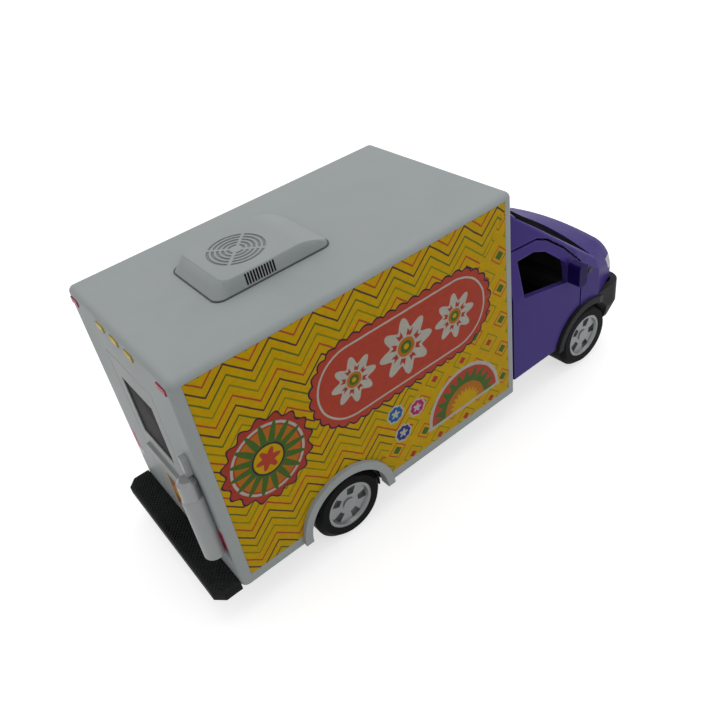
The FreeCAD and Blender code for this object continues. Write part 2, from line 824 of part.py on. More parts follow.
def flat_backed(name, item):
    """The item less what would reach into the back wall."""
    wall = block(
        name + "Wall", "Sizes.box_width", "Sizes.box_width", "Sizes.box_height",
        "Places.box_rear - Sizes.fit_gap / 2", "-Sizes.box_width", "Sizes.box_underside",
    )
    return cut(name, item, [wall])


def make_gas_bottle():
    radius = "Sizes.bottle_radius"
    top = "Sizes.bottle_height"
    collar = "Sizes.collar_radius"
    bevel = "Sizes.collar_bevel"
    profiles = {
        "Bottle": ("Sizes.bottle_base", [
            ("0", "0"),
            (f"{radius} - {bevel}", "0"),
            (radius, bevel),
            (radius, f"{top} - {bevel}"),
            (collar, top),
            ("0", top),
        ]),
        "BottleCap": (f"Sizes.bottle_base + {top} + Sizes.fit_gap / 2", [
            ("0", "0"),
            (collar, "0"),
            (collar, f"Sizes.collar_height - {bevel}"),
            (f"{collar} - {bevel}", "Sizes.collar_height"),
            ("0", "Sizes.collar_height"),
        ]),
    }
    turned = {}
    for name, (base, profile) in profiles.items():
        body = body_of(name + "Turned")
        outline = sketch_on(body, name + "Profile", "XZ_Plane")
        draw_outline(outline, profile)
        revolution(body, name + "Revolved", outline)
        locate(body, "Places.bottle_line", "-Sizes.bottle_offset", base)
        turned[name] = body
    node(flat_backed("Bottle", turned["Bottle"]), "gas_bottle")
    node(flat_backed("BottleCap", turned["BottleCap"]), "bottle_valve")

    base = f"Sizes.bottle_base + {top} + Sizes.collar_height + Sizes.fit_gap"
    depth = "Sizes.regulator_depth"
    rear = f"Places.box_rear - {depth} - Sizes.fit_gap / 2"
    case = block(
        "RegulatorCase", depth, "Sizes.regulator_width", "Sizes.regulator_height",
        rear, "-Sizes.regulator_offset - Sizes.regulator_width / 2", base,
    )
    dome = rod(
        "RegulatorDome", "Sizes.regulator_width / 2", depth, rear,
        "-Sizes.regulator_offset", f"{base} + Sizes.regulator_height", "x",
    )
    node(fuse("Regulator", [case, dome]), "regulator")


# Wheels: each axle carries two rims and two tyres


def make_wheels():
    for axle_name in ("front", "rear"):
        centre = f"Places.{axle_name}_axle"
        reach = "(Places.axle_end - Sizes.fit_gap)"
        node(rod(
            f"Axle{axle_name}", "Sizes.axle_radius", f"2 * {reach}", centre,
            f"-{reach}", "Sizes.wheel_radius", "y",
        ), f"axle_{axle_name}")
        for side, sign in (("left", 1), ("right", -1)):
            rim = make_rim(f"Rim{axle_name}{side}")
            tyre = make_tyre(f"Tyre{axle_name}{side}")
            for item, label in ((rim, "rim"), (tyre, "tyre")):
                turn = FreeCAD.Rotation(V(1, 0, 0), -90 * sign)
                item.Placement = FreeCAD.Placement(V(), turn)
                locate(item, centre, f"({sign}) * Places.wheel_middle", "Sizes.wheel_radius")
                node(item, f"{label}_{axle_name}_{side}")


def make_rim(name):
    """A rim about Z with its outer face up, a raised cap and five pockets."""
    body = body_of(name)
    outline = sketch_on(body, name + "Profile", "XZ_Plane")
    half = "Sizes.tyre_width / 2"
    outer = "(Sizes.rim_radius - Sizes.fit_gap / 4)"
    face = f"{half} - 2 * Sizes.fit_gap"
    disc = f"{face} - Sizes.rim_recess"
    back = f"{face} - Sizes.rim_thickness"
    draw_outline(outline, [
        ("Sizes.axle_radius + Sizes.axle_running_gap / 3", back),
        (outer, back),
        (outer, face),
        (f"{outer} - Sizes.rim_lip", face),
        (f"{outer} - Sizes.rim_lip - Sizes.rim_recess / 2", disc),
        ("Sizes.rim_cap_radius", disc),
        ("Sizes.rim_cap_radius", f"{disc} + Sizes.rim_recess / 2"),
        ("0", f"{disc} + Sizes.rim_recess / 2"),
        ("0", f"{disc} - Sizes.rim_web"),
        ("Sizes.axle_radius + Sizes.axle_running_gap / 3", f"{disc} - Sizes.rim_web"),
    ])
    revolution(body, name + "Turned", outline)
    doc.recompute()
    mouth = sketch_on(body, name + "Mouth", "XY_Plane", disc)
    draw_outline(mouth, [
        ("Sizes.rim_pocket_inner", "-Sizes.rim_pocket_width * 0.32"),
        ("Sizes.rim_pocket_outer", "-Sizes.rim_pocket_width / 2"),
        ("Sizes.rim_pocket_outer", "Sizes.rim_pocket_width / 2"),
        ("Sizes.rim_pocket_inner", "Sizes.rim_pocket_width * 0.32"),
    ])
    hollow = pocket(body, name + "Pocket", mouth, "Sizes.rim_pocket_depth")
    doc.recompute()
    pattern = body.newObject("PartDesign::PolarPattern", name + "Pockets")
    pattern.Originals = [hollow]
    pattern.Axis = (mouth, ["N_Axis"])
    pattern.Angle = 360
    pattern.Occurrences = 5
    body.Tip = pattern
    return body


def make_tyre(name):
    """A tyre about Z with its outer face up; only the outer shoulder is bevelled."""
    body = body_of(name)
    outline = sketch_on(body, name + "Profile", "XZ_Plane")
    half = "Sizes.tyre_width / 2"
    shoulder = "Sizes.tyre_shoulder"
    draw_outline(outline, [
        ("Sizes.rim_radius", f"-{half}"),
        ("Sizes.wheel_radius", f"-{half}"),
        ("Sizes.wheel_radius", f"{half} - {shoulder}"),
        (f"Sizes.wheel_radius - {shoulder}", half),
        ("Sizes.rim_radius", half),
    ])
    revolution(body, name + "Turned", outline)
    return body


# Chassis: one plate with wheel wells, axle bearers and screw bosses


def make_chassis():
    half_rear = "Places.box_inner_side - Sizes.chassis_gap"
    half_front = "Places.cab_side - Sizes.cab_wall - Sizes.chassis_gap"
    half_well = "Places.wheel_inner_face - Sizes.wheel_well_gap"
    x_rear = "Places.box_rear + Sizes.box_wall + Sizes.chassis_gap"
    x_mid = "Places.box_front - Sizes.box_wall - Sizes.chassis_gap"
    x_front = "Places.front_axle + Sizes.front_arch_radius"
    right = [
        (x_rear, f"-({half_rear})"),
        ("Places.arch_middle - Sizes.arch_radius", f"-({half_rear})"),
        ("Places.arch_middle - Sizes.arch_radius", f"-({half_well})"),
        ("Places.arch_middle + Sizes.arch_radius", f"-({half_well})"),
        ("Places.arch_middle + Sizes.arch_radius", f"-({half_rear})"),
        (x_mid, f"-({half_rear})"),
        (x_mid, f"-({half_front})"),
        ("Places.front_axle - Sizes.front_arch_radius", f"-({half_front})"),
        ("Places.front_axle - Sizes.front_arch_radius", f"-({half_well})"),
        (x_front, f"-({half_well})"),
    ]
    left = [(x, side[1:]) for x, side in reversed(right)]
    body = body_of("ChassisPlate")
    outline = sketch_on(body, "ChassisOutline", "XY_Plane", "Sizes.chassis_height")
    draw_outline(outline, right + left)
    pad(body, "Plate", outline, "Sizes.chassis_thickness")

    pieces = [body]
    holes = []
    for name in ("front", "rear"):
        centre = f"Places.{name}_axle"
        for side, sign in (("Left", 1), ("Right", -1)):
            middle = f"({sign}) * ({half_well} - Sizes.bearer_width / 2)"
            pieces.append(block(
                f"Bearer{name}{side}", "Sizes.bearer_length", "Sizes.bearer_width",
                "Sizes.bearer_drop + Sizes.chassis_thickness",
                f"{centre} - Sizes.bearer_length / 2",
                f"{middle} - Sizes.bearer_width / 2",
                "Sizes.chassis_height - Sizes.bearer_drop",
            ))
        holes.append(rod(
            f"AxleBore{name}", "Sizes.axle_radius + Sizes.axle_running_gap",
            "Sizes.box_width", centre, "-Sizes.box_width / 2", "Sizes.wheel_radius", "y",
        ))
        slot = "Sizes.axle_radius + 5 * Sizes.fit_gap"
        room = f"({half_well} - Sizes.bearer_width)"
        holes.append(block(
            f"AxleSlot{name}", f"2 * ({slot})", f"2 * {room}", "Sizes.chassis_thickness",
            f"{centre} - ({slot})", f"-{room}", "Sizes.chassis_height",
        ))
    for name in ("Front", "Rear"):
        x = f"Places.{name.lower()}_screw"
        depth = "Sizes.screw_boss_drop + Sizes.chassis_thickness"
        base = "Sizes.chassis_height - Sizes.screw_boss_drop"
        pieces.append(block(
            f"ScrewBoss{name}", "2 * Sizes.screw_boss_radius", "2 * Sizes.screw_boss_radius",
            depth, f"{x} - Sizes.screw_boss_radius", "-Sizes.screw_boss_radius", base,
        ))
        holes.append(rod(f"ScrewHole{name}", "Sizes.screw_hole_radius", depth, x, "0", base))
    holes.append(block(
        "MotorOpening", "Sizes.motor_length + 2 * Sizes.fit_gap",
        "Sizes.motor_width + 2 * Sizes.fit_gap", "2 * Sizes.chassis_thickness",
        "Places.rear_axle - Sizes.motor_rear_offset - Sizes.fit_gap",
        "-Sizes.motor_width / 2 - Sizes.fit_gap",
        "Sizes.chassis_height - Sizes.chassis_thickness / 2",
    ))
    node(cut("Chassis", fuse("ChassisBlank", pieces), holes), "chassis")

    motor = block(
        "MotorBlock", "Sizes.motor_length", "Sizes.motor_width", "Sizes.motor_height",
        "Places.rear_axle - Sizes.motor_rear_offset", "-Sizes.motor_width / 2",
        "Sizes.motor_base",
    )
    bore = rod(
        "MotorBore", "Sizes.axle_radius + Sizes.axle_running_gap", "2 * Sizes.motor_width",
        "Places.rear_axle", "-Sizes.motor_width", "Sizes.wheel_radius", "y",
    )
    node(cut("Motor", motor, [bore]), "motor_box")


# Cab: a crowned form from a side, a plan and a front outline, then cut into pieces


def outline_face(points, flat):
    """A face from corner points; flat turns a pair of numbers into a point in space."""
    corners = [flat(first, second) for first, second in points]
    return Part.Face(Part.makePolygon(corners + corners[:1]))


def moved_in(line, inset):
    """An open line of (along, out) pairs moved inwards, each corner along its bisector."""
    normals = []
    for (x0, y0), (x1, y1) in zip(line, line[1:]):
        length = math.hypot(x1 - x0, y1 - y0)
        normals.append(((y1 - y0) / length, (x0 - x1) / length))
    shifted = []
    for index, (x, y) in enumerate(line):
        before = normals[max(index - 1, 0)]
        after = normals[min(index, len(normals) - 1)]
        share = inset / (1 + before[0] * after[0] + before[1] * after[1])
        shifted.append((x + share * (before[0] + after[0]), y + share * (before[1] + after[1])))
    return shifted


def bowed(start, end, rise, parts):
    """Points from start up to end on a shallow arc that stands out by a rise."""
    (x0, y0), (x1, y1) = start, end
    length = math.hypot(x1 - x0, y1 - y0)
    points = []
    for step in range(parts):
        share = step / parts
        out = 4 * rise * share * (1 - share) / length
        points.append((x0 + share * (x1 - x0) - out * (y1 - y0),
                       y0 + share * (y1 - y0) + out * (x1 - x0)))
    return points


def follow(line, x):
    """The line's second number at x, held at its ends."""
    if x <= line[0][0]:
        return line[0][1]
    for (x0, y0), (x1, y1) in zip(line, line[1:]):
        if x <= x1:
            return y0 + (y1 - y0) * (x - x0) / (x1 - x0)
    return line[-1][1]


def rounded_corner(before, corner, after, radius):
    """Ends and middle of the arc that rounds a corner between two directions."""
    back = (before - corner).normalize()
    ahead = (after - corner).normalize()
    half_angle = back.getAngle(ahead) / 2
    reach = radius / math.tan(half_angle)
    middle = (back + ahead).normalize() * (radius / math.sin(half_angle) - radius)
    return corner + back * reach, corner + middle, corner + ahead * reach


def cab_section(x, half, top, crown_radius, round_radius, plain=False):
    """A closed section across the cab: upright sides, leaning shoulders, crowned top.

    A plain section has straight lines in place of the arcs.
    """
    belt = min(size("belt_height"), top - size("shoulder_height"))
    lean = size("cab_lean") * (top - belt) / (size("cab_roof_height") - size("belt_height"))
    edge = half - lean
    crown = edge * edge / (2 * crown_radius)
    belt_point = V(x, half, belt)
    corner = V(x, edge, top - crown)
    start, middle, end = rounded_corner(belt_point, corner, V(x, 0, top), round_radius)
    right = [V(x, 0, 0), V(x, half, 0), belt_point, start, middle, end, V(x, 0, top)]
    left = [V(x, -point.y, point.z) for point in right]
    if plain:
        corners = [right[1], belt_point, start, end, right[6], left[5], left[3], left[2], left[1]]
        return Part.makePolygon(corners + corners[:1])
    return Part.Wire([
        Part.LineSegment(left[1], right[1]).toShape(),
        Part.LineSegment(right[1], right[2]).toShape(),
        Part.LineSegment(right[2], right[3]).toShape(),
        Part.Arc(right[3], right[4], right[5]).toShape(),
        Part.Arc(right[5], right[6], left[5]).toShape(),
        Part.Arc(left[5], left[4], left[3]).toShape(),
        Part.LineSegment(left[3], left[2]).toShape(),
        Part.LineSegment(left[2], left[1]).toShape(),
    ])


def cab_lines():
    """The cab's top line and its side line, each from back to front."""
    rear = place("box_front") + size("fit_gap")
    nose = rear + size("cab_length")
    screen = (rear + size("screen_top_setback"), size("screen_top_height"))
    cowl = (rear + size("cowl_setback"), size("cowl_height"))
    bonnet = (rear + size("bonnet_setback"), size("bonnet_height"))
    brow = (rear + size("bonnet_setback") + size("nose_round"),
            size("bonnet_height") - size("nose_round"))
    hinge = (place("door_hinge"), follow([screen, cowl], place("door_hinge")))
    top = [(rear, size("cab_roof_height")), screen, hinge, cowl, bonnet, brow]
    top += [(nose, size("nose_height"))]
    half = size("cab_width") / 2
    corner = (nose - size("cab_corner_round"), half - size("cab_front_taper"))
    tip = (nose, corner[1] - size("cab_corner_round"))
    side = [(rear, half), (cowl[0], half)]
    side += bowed(corner, tip, size("cab_corner_round") * 0.28, 3)
    side += [tip]
    return top, side


def cab_form(inset, open_back=0.0, plain=False):
    """The cab's solid form; a positive inset gives the form inside the wall."""
    top, side = cab_lines()
    top = moved_in(top, inset)
    side = moved_in(side, inset)
    first = place("box_front") + size("fit_gap") - open_back
    last = min(top[-1][0], side[-1][0])
    stations = sorted({round(x, 4) for x, out in top + side if first < x < last})
    kept = [first]
    for x in stations:
        if x - kept[-1] > 2 * size("fit_gap"):
            kept.append(x)
    if last - kept[-1] < 2 * size("fit_gap"):
        kept.pop()
    kept.append(last)
    cowl = place("box_front") + size("cowl_setback")
    ridge = [(cowl, size("ridge_round")), (last, size("nose_ridge_round"))]
    crown = [(cowl, size("cab_crown")), (last, size("nose_crown"))]
    slope = (top[0][1] - top[1][1]) / (top[1][0] - top[0][0])
    sections = []
    for x in kept:
        height = follow(top, x) + slope * max(top[0][0] - x, 0)
        radius = max(follow(ridge, x) - inset, size("ridge_round") / 4)
        sections.append(
            cab_section(x, follow(side, x), height, follow(crown, x) - inset, radius, plain)
        )
    return Part.makeLoft(sections, True, True)


def side_prism(points, low, high, grow=0.0, flip=1):
    """A prism across the truck from an outline in the XZ plane, between two widths."""
    face = outline_face(points, lambda x, z: V(x, flip * low, z))
    if grow:
        face = face.makeOffset2D(grow, 2)
    return face.extrude(V(0, flip * (high - low), 0))


def cab_outline(name):
    """One of the side outlines as points in the XZ plane."""
    front = place("box_front") + size("door_front")
    length = size("door_front") - size("fit_gap")
    low = size("cab_sill")
    tall = size("cab_roof_height") - low
    if name == "headlamp":
        front = place("box_front") + size("cab_length")
    return [(front - back * length, low + up * tall) for back, up in OUTLINES[name]]


def door_outline():
    """The door's side outline, closed along the sill."""
    points = cab_outline("door")
    return points + [(points[-1][0], points[0][1])]


def box_between(x0, x1, y0, y1, z0, z1):
    return Part.makeBox(x1 - x0, y1 - y0, z1 - z0, V(x0, y0, z0))


def wheel_cylinder(radius, low=0.0, flip=1):
    """A cylinder about the front axle, from a width outwards to one side."""
    start = V(place("front_axle"), flip * low, size("wheel_radius"))
    return Part.makeCylinder(radius, size("cab_width"), start, V(0, flip, 0))


def all_below(height, rear):
    """A block that holds everything below a height, ahead of a place along the truck."""
    reach = size("overall_length")
    return box_between(rear, reach, -reach, reach, -reach, height)


def make_cab():
    wall = size("cab_wall")
    gap = size("fit_gap")
    outer = cab_form(0)
    inner = cab_form(wall, open_back=2 * wall, plain=True)
    skin = outer.cut(inner)

    front_axle = place("front_axle")
    trim_radius = size("front_arch_radius") + size("arch_trim_width")
    half = size("cab_width") / 2
    well = place("wheel_inner_face") - size("wheel_well_gap")
    shell = skin.cut(all_below(size("cab_sill"), 0))
    shell = shell.cut(all_below(size("bumper_top") + gap, front_axle))
    outboard = half + size("cab_lean")
    inboard = half - 2 * size("cab_lean")

    doors = {}
    for name, flip in (("left", 1), ("right", -1)):
        shell = shell.cut(wheel_cylinder(trim_radius + gap, well, flip))
        shell = shell.cut(side_prism(door_outline(), inboard, outboard, size("door_gap"), flip))
        leaf = skin.common(side_prism(door_outline(), inboard, outboard, 0, flip))
        leaf = leaf.cut(side_prism(cab_outline("window"), inboard, outboard, 0, flip))
        leaf = leaf.cut(wheel_cylinder(trim_radius + size("door_arch_gap"), well, flip))
        doors[name] = (leaf, flip)

    rear = place("box_front") + gap
    screen_rear = rear + size("screen_top_setback") + size("screen_margin")
    screen_front = rear + size("cowl_setback") - size("screen_margin") / 2
    side = half - size("screen_side_margin")
    taper = size("cab_lean") / 2

    top_line = cab_lines()[0]

    def screen_prism(shrink):
        """The opening seen from above, kept to the top of the cab."""
        plan = outline_face(
            [(screen_rear + shrink, -side + taper + shrink),
             (screen_front - shrink, -side + shrink),
             (screen_front - shrink, side - shrink),
             (screen_rear + shrink, side - taper - shrink)],
            lambda x, y: V(x, y, size("nose_height")),
        )
        low = [(x, follow(top_line, x) - size("screen_wrap") + shrink)
               for x in (screen_rear, screen_front)]
        high = [(x, z + size("cab_roof_height")) for x, z in reversed(low)]
        return plan.extrude(V(0, 0, size("cab_roof_height"))).common(
            side_prism(low + high, -half, half)
        )

    shell = shell.cut(screen_prism(0))
    glass_skin = cab_form(size("screen_recess")).cut(inner)
    node(solid("Windscreen", glass_skin.common(screen_prism(gap / 2))), "windscreen")

    lamp_side = size("headlamp_inboard")
    lamp_skin = outer.cut(cab_form(size("headlamp_depth"), plain=True))
    lamp_seat = outer.cut(cab_form(size("headlamp_depth") + gap / 2, plain=True))
    lamps = []
    for flip in (1, -1):
        seat = side_prism(cab_outline("headlamp"), lamp_side, outboard, 0, flip)
        shell = shell.cut(lamp_seat.common(seat))
        lens = side_prism(cab_outline("headlamp"), lamp_side + gap / 2, outboard, -gap / 2, flip)
        lamps.append(lamp_skin.common(lens))
    node(solid("Headlamps", Part.makeCompound(lamps)), "headlamps")

    wide = size("grille_width") / 2
    base = size("grille_base")
    top = base + size("grille_height")
    nose = rear + size("cab_length")
    deep = nose - 2 * size("cab_corner_round")
    clear = nose + wall
    mouth = box_between(deep, clear, -wide, wide, base, top)
    grille_skin = cab_form(gap).cut(cab_form(wall, plain=True))
    shell = shell.cut(mouth)
    edge = gap / 2
    grille = grille_skin.common(
        box_between(deep, clear, -wide + edge, wide - edge, base + edge, top - edge)
    )
    bars = int(size("grille_bars"))
    slot = size("grille_slot")
    pitch = size("grille_height") / (bars + 1)
    face_skin = cab_form(gap).cut(cab_form(wall / 2, plain=True))
    for bar in range(bars):
        z = base + (bar + 1) * pitch - slot / 2
        groove = box_between(deep, clear, -wide + pitch, wide - pitch, z, z + slot)
        grille = grille.cut(face_skin.common(groove))
    node(solid("Grille", grille), "grille")

    repeaters = []
    x = place("box_front") + size("repeater_setback")
    for flip in (1, -1):
        start = V(x, flip * (half - wall - gap), size("repeater_height"))
        seat = Part.makeCylinder(
            size("repeater_radius") + gap / 2, 2 * wall, start, V(0, flip, 0),
        )
        shell = shell.cut(seat)
        start = V(x, flip * (half - wall), size("repeater_height"))
        repeaters.append(
            Part.makeCylinder(size("repeater_radius"), wall + 2 * gap, start, V(0, flip, 0))
        )
    node(solid("SideRepeaters", Part.makeCompound(repeaters)), "side_repeaters")

    pin_x = place("door_hinge")
    pin_y = place("door_hinge_side")
    ring_top = size("wheel_radius") + math.sqrt(trim_radius ** 2 - (front_axle - pin_x) ** 2)
    pin_low = ring_top - size("door_pin_reach")
    upper_edge = sorted(cab_outline("door")[2:])
    pin_high = follow(upper_edge, pin_x) + size("door_pin_reach")
    pin_radius = size("door_pin_radius")
    sockets = []
    for name, (leaf, flip) in doors.items():
        pin = Part.makeCylinder(pin_radius, pin_high - pin_low, V(pin_x, flip * pin_y, pin_low))
        leaf = leaf.fuse(pin)
        leaf = leaf.fuse(make_mirror(flip)).removeSplitter()
        node(solid(f"Door{name}", leaf), f"door_{name}")
        sockets.append(Part.makeCylinder(
            pin_radius + size("axle_running_gap"), pin_high - pin_low + 2 * gap,
            V(pin_x, flip * pin_y, pin_low - gap),
        ))
    shell = shell.cut(sockets[0]).cut(sockets[1])
    node(solid("CabShell", shell), "cab_shell")
    make_bumper(sockets)


def make_mirror(flip):
    """A mirror housing with rounded corners on a short foot, outboard of the door."""
    half = size("cab_width") / 2
    x = place("box_front") + size("mirror_setback")
    depth = size("mirror_depth")
    base = size("mirror_base")
    tall = size("mirror_height")
    foot_length = size("mirror_foot")
    housing = box_between(
        x, x + depth, half + foot_length / 2, half + size("mirror_reach"), base, base + tall,
    )
    corners = [edge for edge in housing.Edges if runs_along(edge, V(0, 1, 0))]
    housing = housing.makeFillet(depth / 3, corners)
    foot = box_between(
        x + depth / 4, x + 3 * depth / 4, half - size("cab_wall") / 2, half + foot_length,
        base + tall / 6, base + tall / 2,
    )
    piece = housing.fuse(foot)
    if flip < 0:
        piece = piece.mirror(V(0, 0, 0), V(0, 1, 0))
    return piece


def bumper_plan(inset):
    """The bumper seen from above: flat sides, rounded corners and a slightly bowed front."""
    front = place("front_end") - inset
    half = size("bumper_width") / 2 - inset
    radius = size("bumper_corner") - inset
    rear = place("front_axle")
    bow = size("bumper_bow")
    ends = [V(front - bow - radius, half, 0), V(front - bow, half - radius, 0)]
    lean = radius * (1 - math.sqrt(0.5))
    middle = V(front - bow - lean, half - lean, 0)
    mirrored = [V(point.x, -point.y, 0) for point in (ends[0], ends[1], middle)]
    return Part.Face(Part.Wire([
        Part.makeLine(V(rear, half, 0), ends[0]),
        Part.Arc(ends[0], middle, ends[1]).toShape(),
        Part.Arc(ends[1], V(front, 0, 0), mirrored[1]).toShape(),
        Part.Arc(mirrored[1], mirrored[2], mirrored[0]).toShape(),
        Part.makeLine(mirrored[0], V(rear, -half, 0)),
        Part.makeLine(V(rear, -half, 0), V(rear, half, 0)),
    ]))


def make_bumper(sockets):
    """The bumper with the front wheel-arch trims."""
    proud = size("bumper_proud")
    arch = size("front_arch_radius")
    wall = size("bumper_wall")
    base = size("bumper_base")
    tall = size("bumper_top") - base
    half = size("cab_width") / 2
    well = place("wheel_inner_face") - size("wheel_well_gap")
    skin = cab_form(-proud).cut(cab_form(wall, open_back=2 * wall, plain=True))
    skirt = size("bumper_skirt")
    tuck = size("bumper_tuck")
    bumper = bumper_plan(0).extrude(V(0, 0, tall - skirt))
    bumper = bumper.cut(bumper_plan(wall).extrude(V(0, 0, tall - skirt)))
    bumper.translate(V(0, 0, skirt))
    tucked = []
    for inset in (0, wall):
        lower = bumper_plan(inset + tuck).OuterWire
        upper = bumper_plan(inset).OuterWire
        upper.translate(V(0, 0, skirt))
        tucked.append(Part.makeLoft([lower, upper], True, True))
    bumper = bumper.fuse(tucked[0].cut(tucked[1]))
    bumper.translate(V(0, 0, base))
    sill = all_below(size("cab_sill") - size("arch_trim_drop"), 0)
    for flip in (1, -1):
        ring = wheel_cylinder(arch + size("arch_trim_width"), well, flip)
        bumper = bumper.fuse(skin.common(ring.cut(sill)))
    bumper = bumper.removeSplitter()
    for flip in (1, -1):
        bumper = bumper.cut(wheel_cylinder(arch, 0, flip))
    bumper = bumper.cut(sockets[0]).cut(sockets[1])
    node(solid("FrontBumper", bumper), "front_bumper")


# Cab inside: floor with dashboard, two seats and the steering wheel


def make_cab_inside():
    gap = size("interior_gap")
    rear = place("box_front") + gap
    half = size("cab_width") / 2 - size("cab_wall") - gap
    floor_z = size("cab_sill") + size("fit_gap")
    floor_top = floor_z + size("interior_floor")
    arch_rear = place("front_axle") - size("front_arch_radius") - gap
    well = place("wheel_inner_face") - size("wheel_well_gap")
    dash_front = place("door_hinge") - size("dash_setback")
    dash_rear = dash_front - size("dash_length")
    floor = box_between(rear, min(arch_rear, dash_rear), -half, half, floor_z, floor_top)
    middle = box_between(rear, dash_front, -well, well, floor_z, floor_top)
    dash_top = floor_top + size("dash_height")
    knee = dash_rear + size("dash_undercut")
    dash = side_prism(
        [(dash_front, floor_z), (dash_front, dash_top), (dash_rear + size("dash_bevel"), dash_top),
         (dash_rear, dash_top - size("dash_brow")), (knee, floor_top + size("dash_knee")),
         (knee, floor_z)],
        -half, half,
    )
    for flip in (1, -1):
        dash = dash.cut(wheel_cylinder(size("front_arch_radius") + gap, well - gap, flip))
    inside = floor.fuse(middle).fuse(dash).removeSplitter()
    node(solid("CabInterior", inside), "cab_interior")

    for name, flip in (("left", 1), ("right", -1)):
        x = rear + gap
        y = flip * size("seat_offset") - size("seat_width") / 2
        width = size("seat_width")
        z = floor_top + size("fit_gap") / 2
        cushion = Part.makeBox(size("seat_length"), width, size("seat_base"), V(x, y, z))
        thick = size("seat_back_thickness")
        crest = z + size("seat_back")
        back = side_prism(
            [(x, z), (x + thick, z), (x + 0.8 * thick, crest), (x, crest)], y, y + width,
        )
        seat = cushion.fuse(back).removeSplitter()
        node(solid(f"Seat{name}", seat), f"seat_{name}")

    radius = size("steering_radius")
    rim = size("steering_rim")
    ring = round_prism(radius, rim, V()).cut(round_prism(radius - rim, rim, V()))
    spoke = box_between(-radius + rim / 2, radius - rim / 2, -rim / 2, rim / 2, 0, rim / 2)
    reach = size("steering_reach")
    column = Part.makeCylinder(size("steering_column"), reach + size("dash_bevel"))
    wheel = ring.fuse(spoke).fuse(column)
    wheel.rotate(V(), V(0, 1, 0), size("steering_lean"))
    wheel.translate(V(dash_rear - reach, size("seat_offset"), dash_top - size("steering_drop")))
    node(solid("SteeringWheel", wheel.cut(inside)), "steering_wheel")


make_box_shell()
make_side_panels()
make_serving_hatch()
make_box_floor()
make_roof_unit()
make_rear_door()
make_rear_lamps()
make_rear_step()
make_gas_bottle()
make_wheels()
make_chassis()
make_cab()
make_cab_inside()
doc.recompute()

for item in doc.Objects:
    if "Invalid" in item.State or "Error" in item.State:
        raise RuntimeError(f"{item.Label} did not compute: {item.State}")
for item in nodes:
    if item.Shape.isNull() or not item.Shape.isValid():
        raise RuntimeError(f"{item.Label} has no valid shape")

os.makedirs("parts", exist_ok=True)
for item in nodes:
    item.Shape.exportStep(f"parts/{item.Label}.step")
    print(item.Label, round(item.Shape.Volume, 1), len(item.Shape.Solids), "solids")
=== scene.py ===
import math
import bpy
import numpy as np
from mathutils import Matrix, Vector


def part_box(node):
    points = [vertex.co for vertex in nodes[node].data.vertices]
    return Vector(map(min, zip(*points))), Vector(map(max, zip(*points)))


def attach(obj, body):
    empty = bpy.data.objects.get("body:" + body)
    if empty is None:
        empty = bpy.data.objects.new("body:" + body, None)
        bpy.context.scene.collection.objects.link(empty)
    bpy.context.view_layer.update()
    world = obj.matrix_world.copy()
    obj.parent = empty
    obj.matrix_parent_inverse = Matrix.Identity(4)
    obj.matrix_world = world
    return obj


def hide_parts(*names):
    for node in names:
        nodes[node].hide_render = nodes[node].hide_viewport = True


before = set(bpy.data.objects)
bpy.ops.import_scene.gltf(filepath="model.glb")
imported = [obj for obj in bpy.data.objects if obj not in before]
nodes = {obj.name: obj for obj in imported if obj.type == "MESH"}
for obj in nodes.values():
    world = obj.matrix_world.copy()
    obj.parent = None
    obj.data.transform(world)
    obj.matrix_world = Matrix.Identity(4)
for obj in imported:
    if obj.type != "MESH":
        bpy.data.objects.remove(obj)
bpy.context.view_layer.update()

# Toy food truck: finishes for the moulded, painted and printed pieces, and a studio around them.
# Metres, +X the front, +Y the left side, +Z up.

mm = 0.001
perMetre = 1000.0  # millimetres in a metre
print("stage 1: frame loaded,", len(nodes), "pieces")


def nodeBox(name):
    # corners of a CAD piece's box, in mm
    low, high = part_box(name)
    return [value / mm for value in low], [value / mm for value in high]


# camera, floor and lamps
cameraSetup = {
    "place": (-82.588, -116.185, 134.339),  # mm
    "turn": (52.987, 9.111, -37.563),  # degrees about X, Y and Z
    "sensor": 36.0,  # mm
    "lens": 36.766,
    "shift": (0.0376, -0.0309),
    "clip": (0.01, 20.0),  # m
}


def makeCamera(setup):
    data = bpy.data.cameras.new("viewCamera")
    data.sensor_width = setup["sensor"]
    data.lens = setup["lens"]
    data.shift_x, data.shift_y = setup["shift"]
    data.clip_start, data.clip_end = setup["clip"]
    camera = bpy.data.objects.new("viewCamera", data)
    camera.rotation_euler = [math.radians(angle) for angle in setup["turn"]]
    camera.location = [value * mm for value in setup["place"]]
    bpy.context.scene.collection.objects.link(camera)
    bpy.context.scene.camera = camera


def emptyTree(owner):
    owner.use_nodes = True
    owner.node_tree.nodes.clear()
    return owner.node_tree


def feed(tree, node, inputs):
    # a socket is linked, anything else is written into the input
    for label, value in inputs.items():
        if isinstance(value, bpy.types.NodeSocket):
            tree.links.new(value, node.inputs[label])
        else:
            node.inputs[label].default_value = value


def addNode(tree, kind, inputs=None, **settings):
    # inputs by label or number, settings by the name of the node's own property
    node = tree.nodes.new("ShaderNode" + kind)
    for key, value in settings.items():
        setattr(node, key, value)
    feed(tree, node, inputs or {})
    return node


def maths(tree, operation, *values, clamp=False):
    values = dict(enumerate(values))
    return addNode(tree, "Math", values, operation=operation, use_clamp=clamp).outputs[0]


def times(tree, first, second):
    return maths(tree, "MULTIPLY", first, second)


def ramp(tree, value, low, high, start=0.0, end=1.0):
    # smooth step from low to high
    values = dict(enumerate((value, low, high, start, end)))
    return addNode(tree, "MapRange", values, interpolation_type="SMOOTHSTEP").outputs[0]


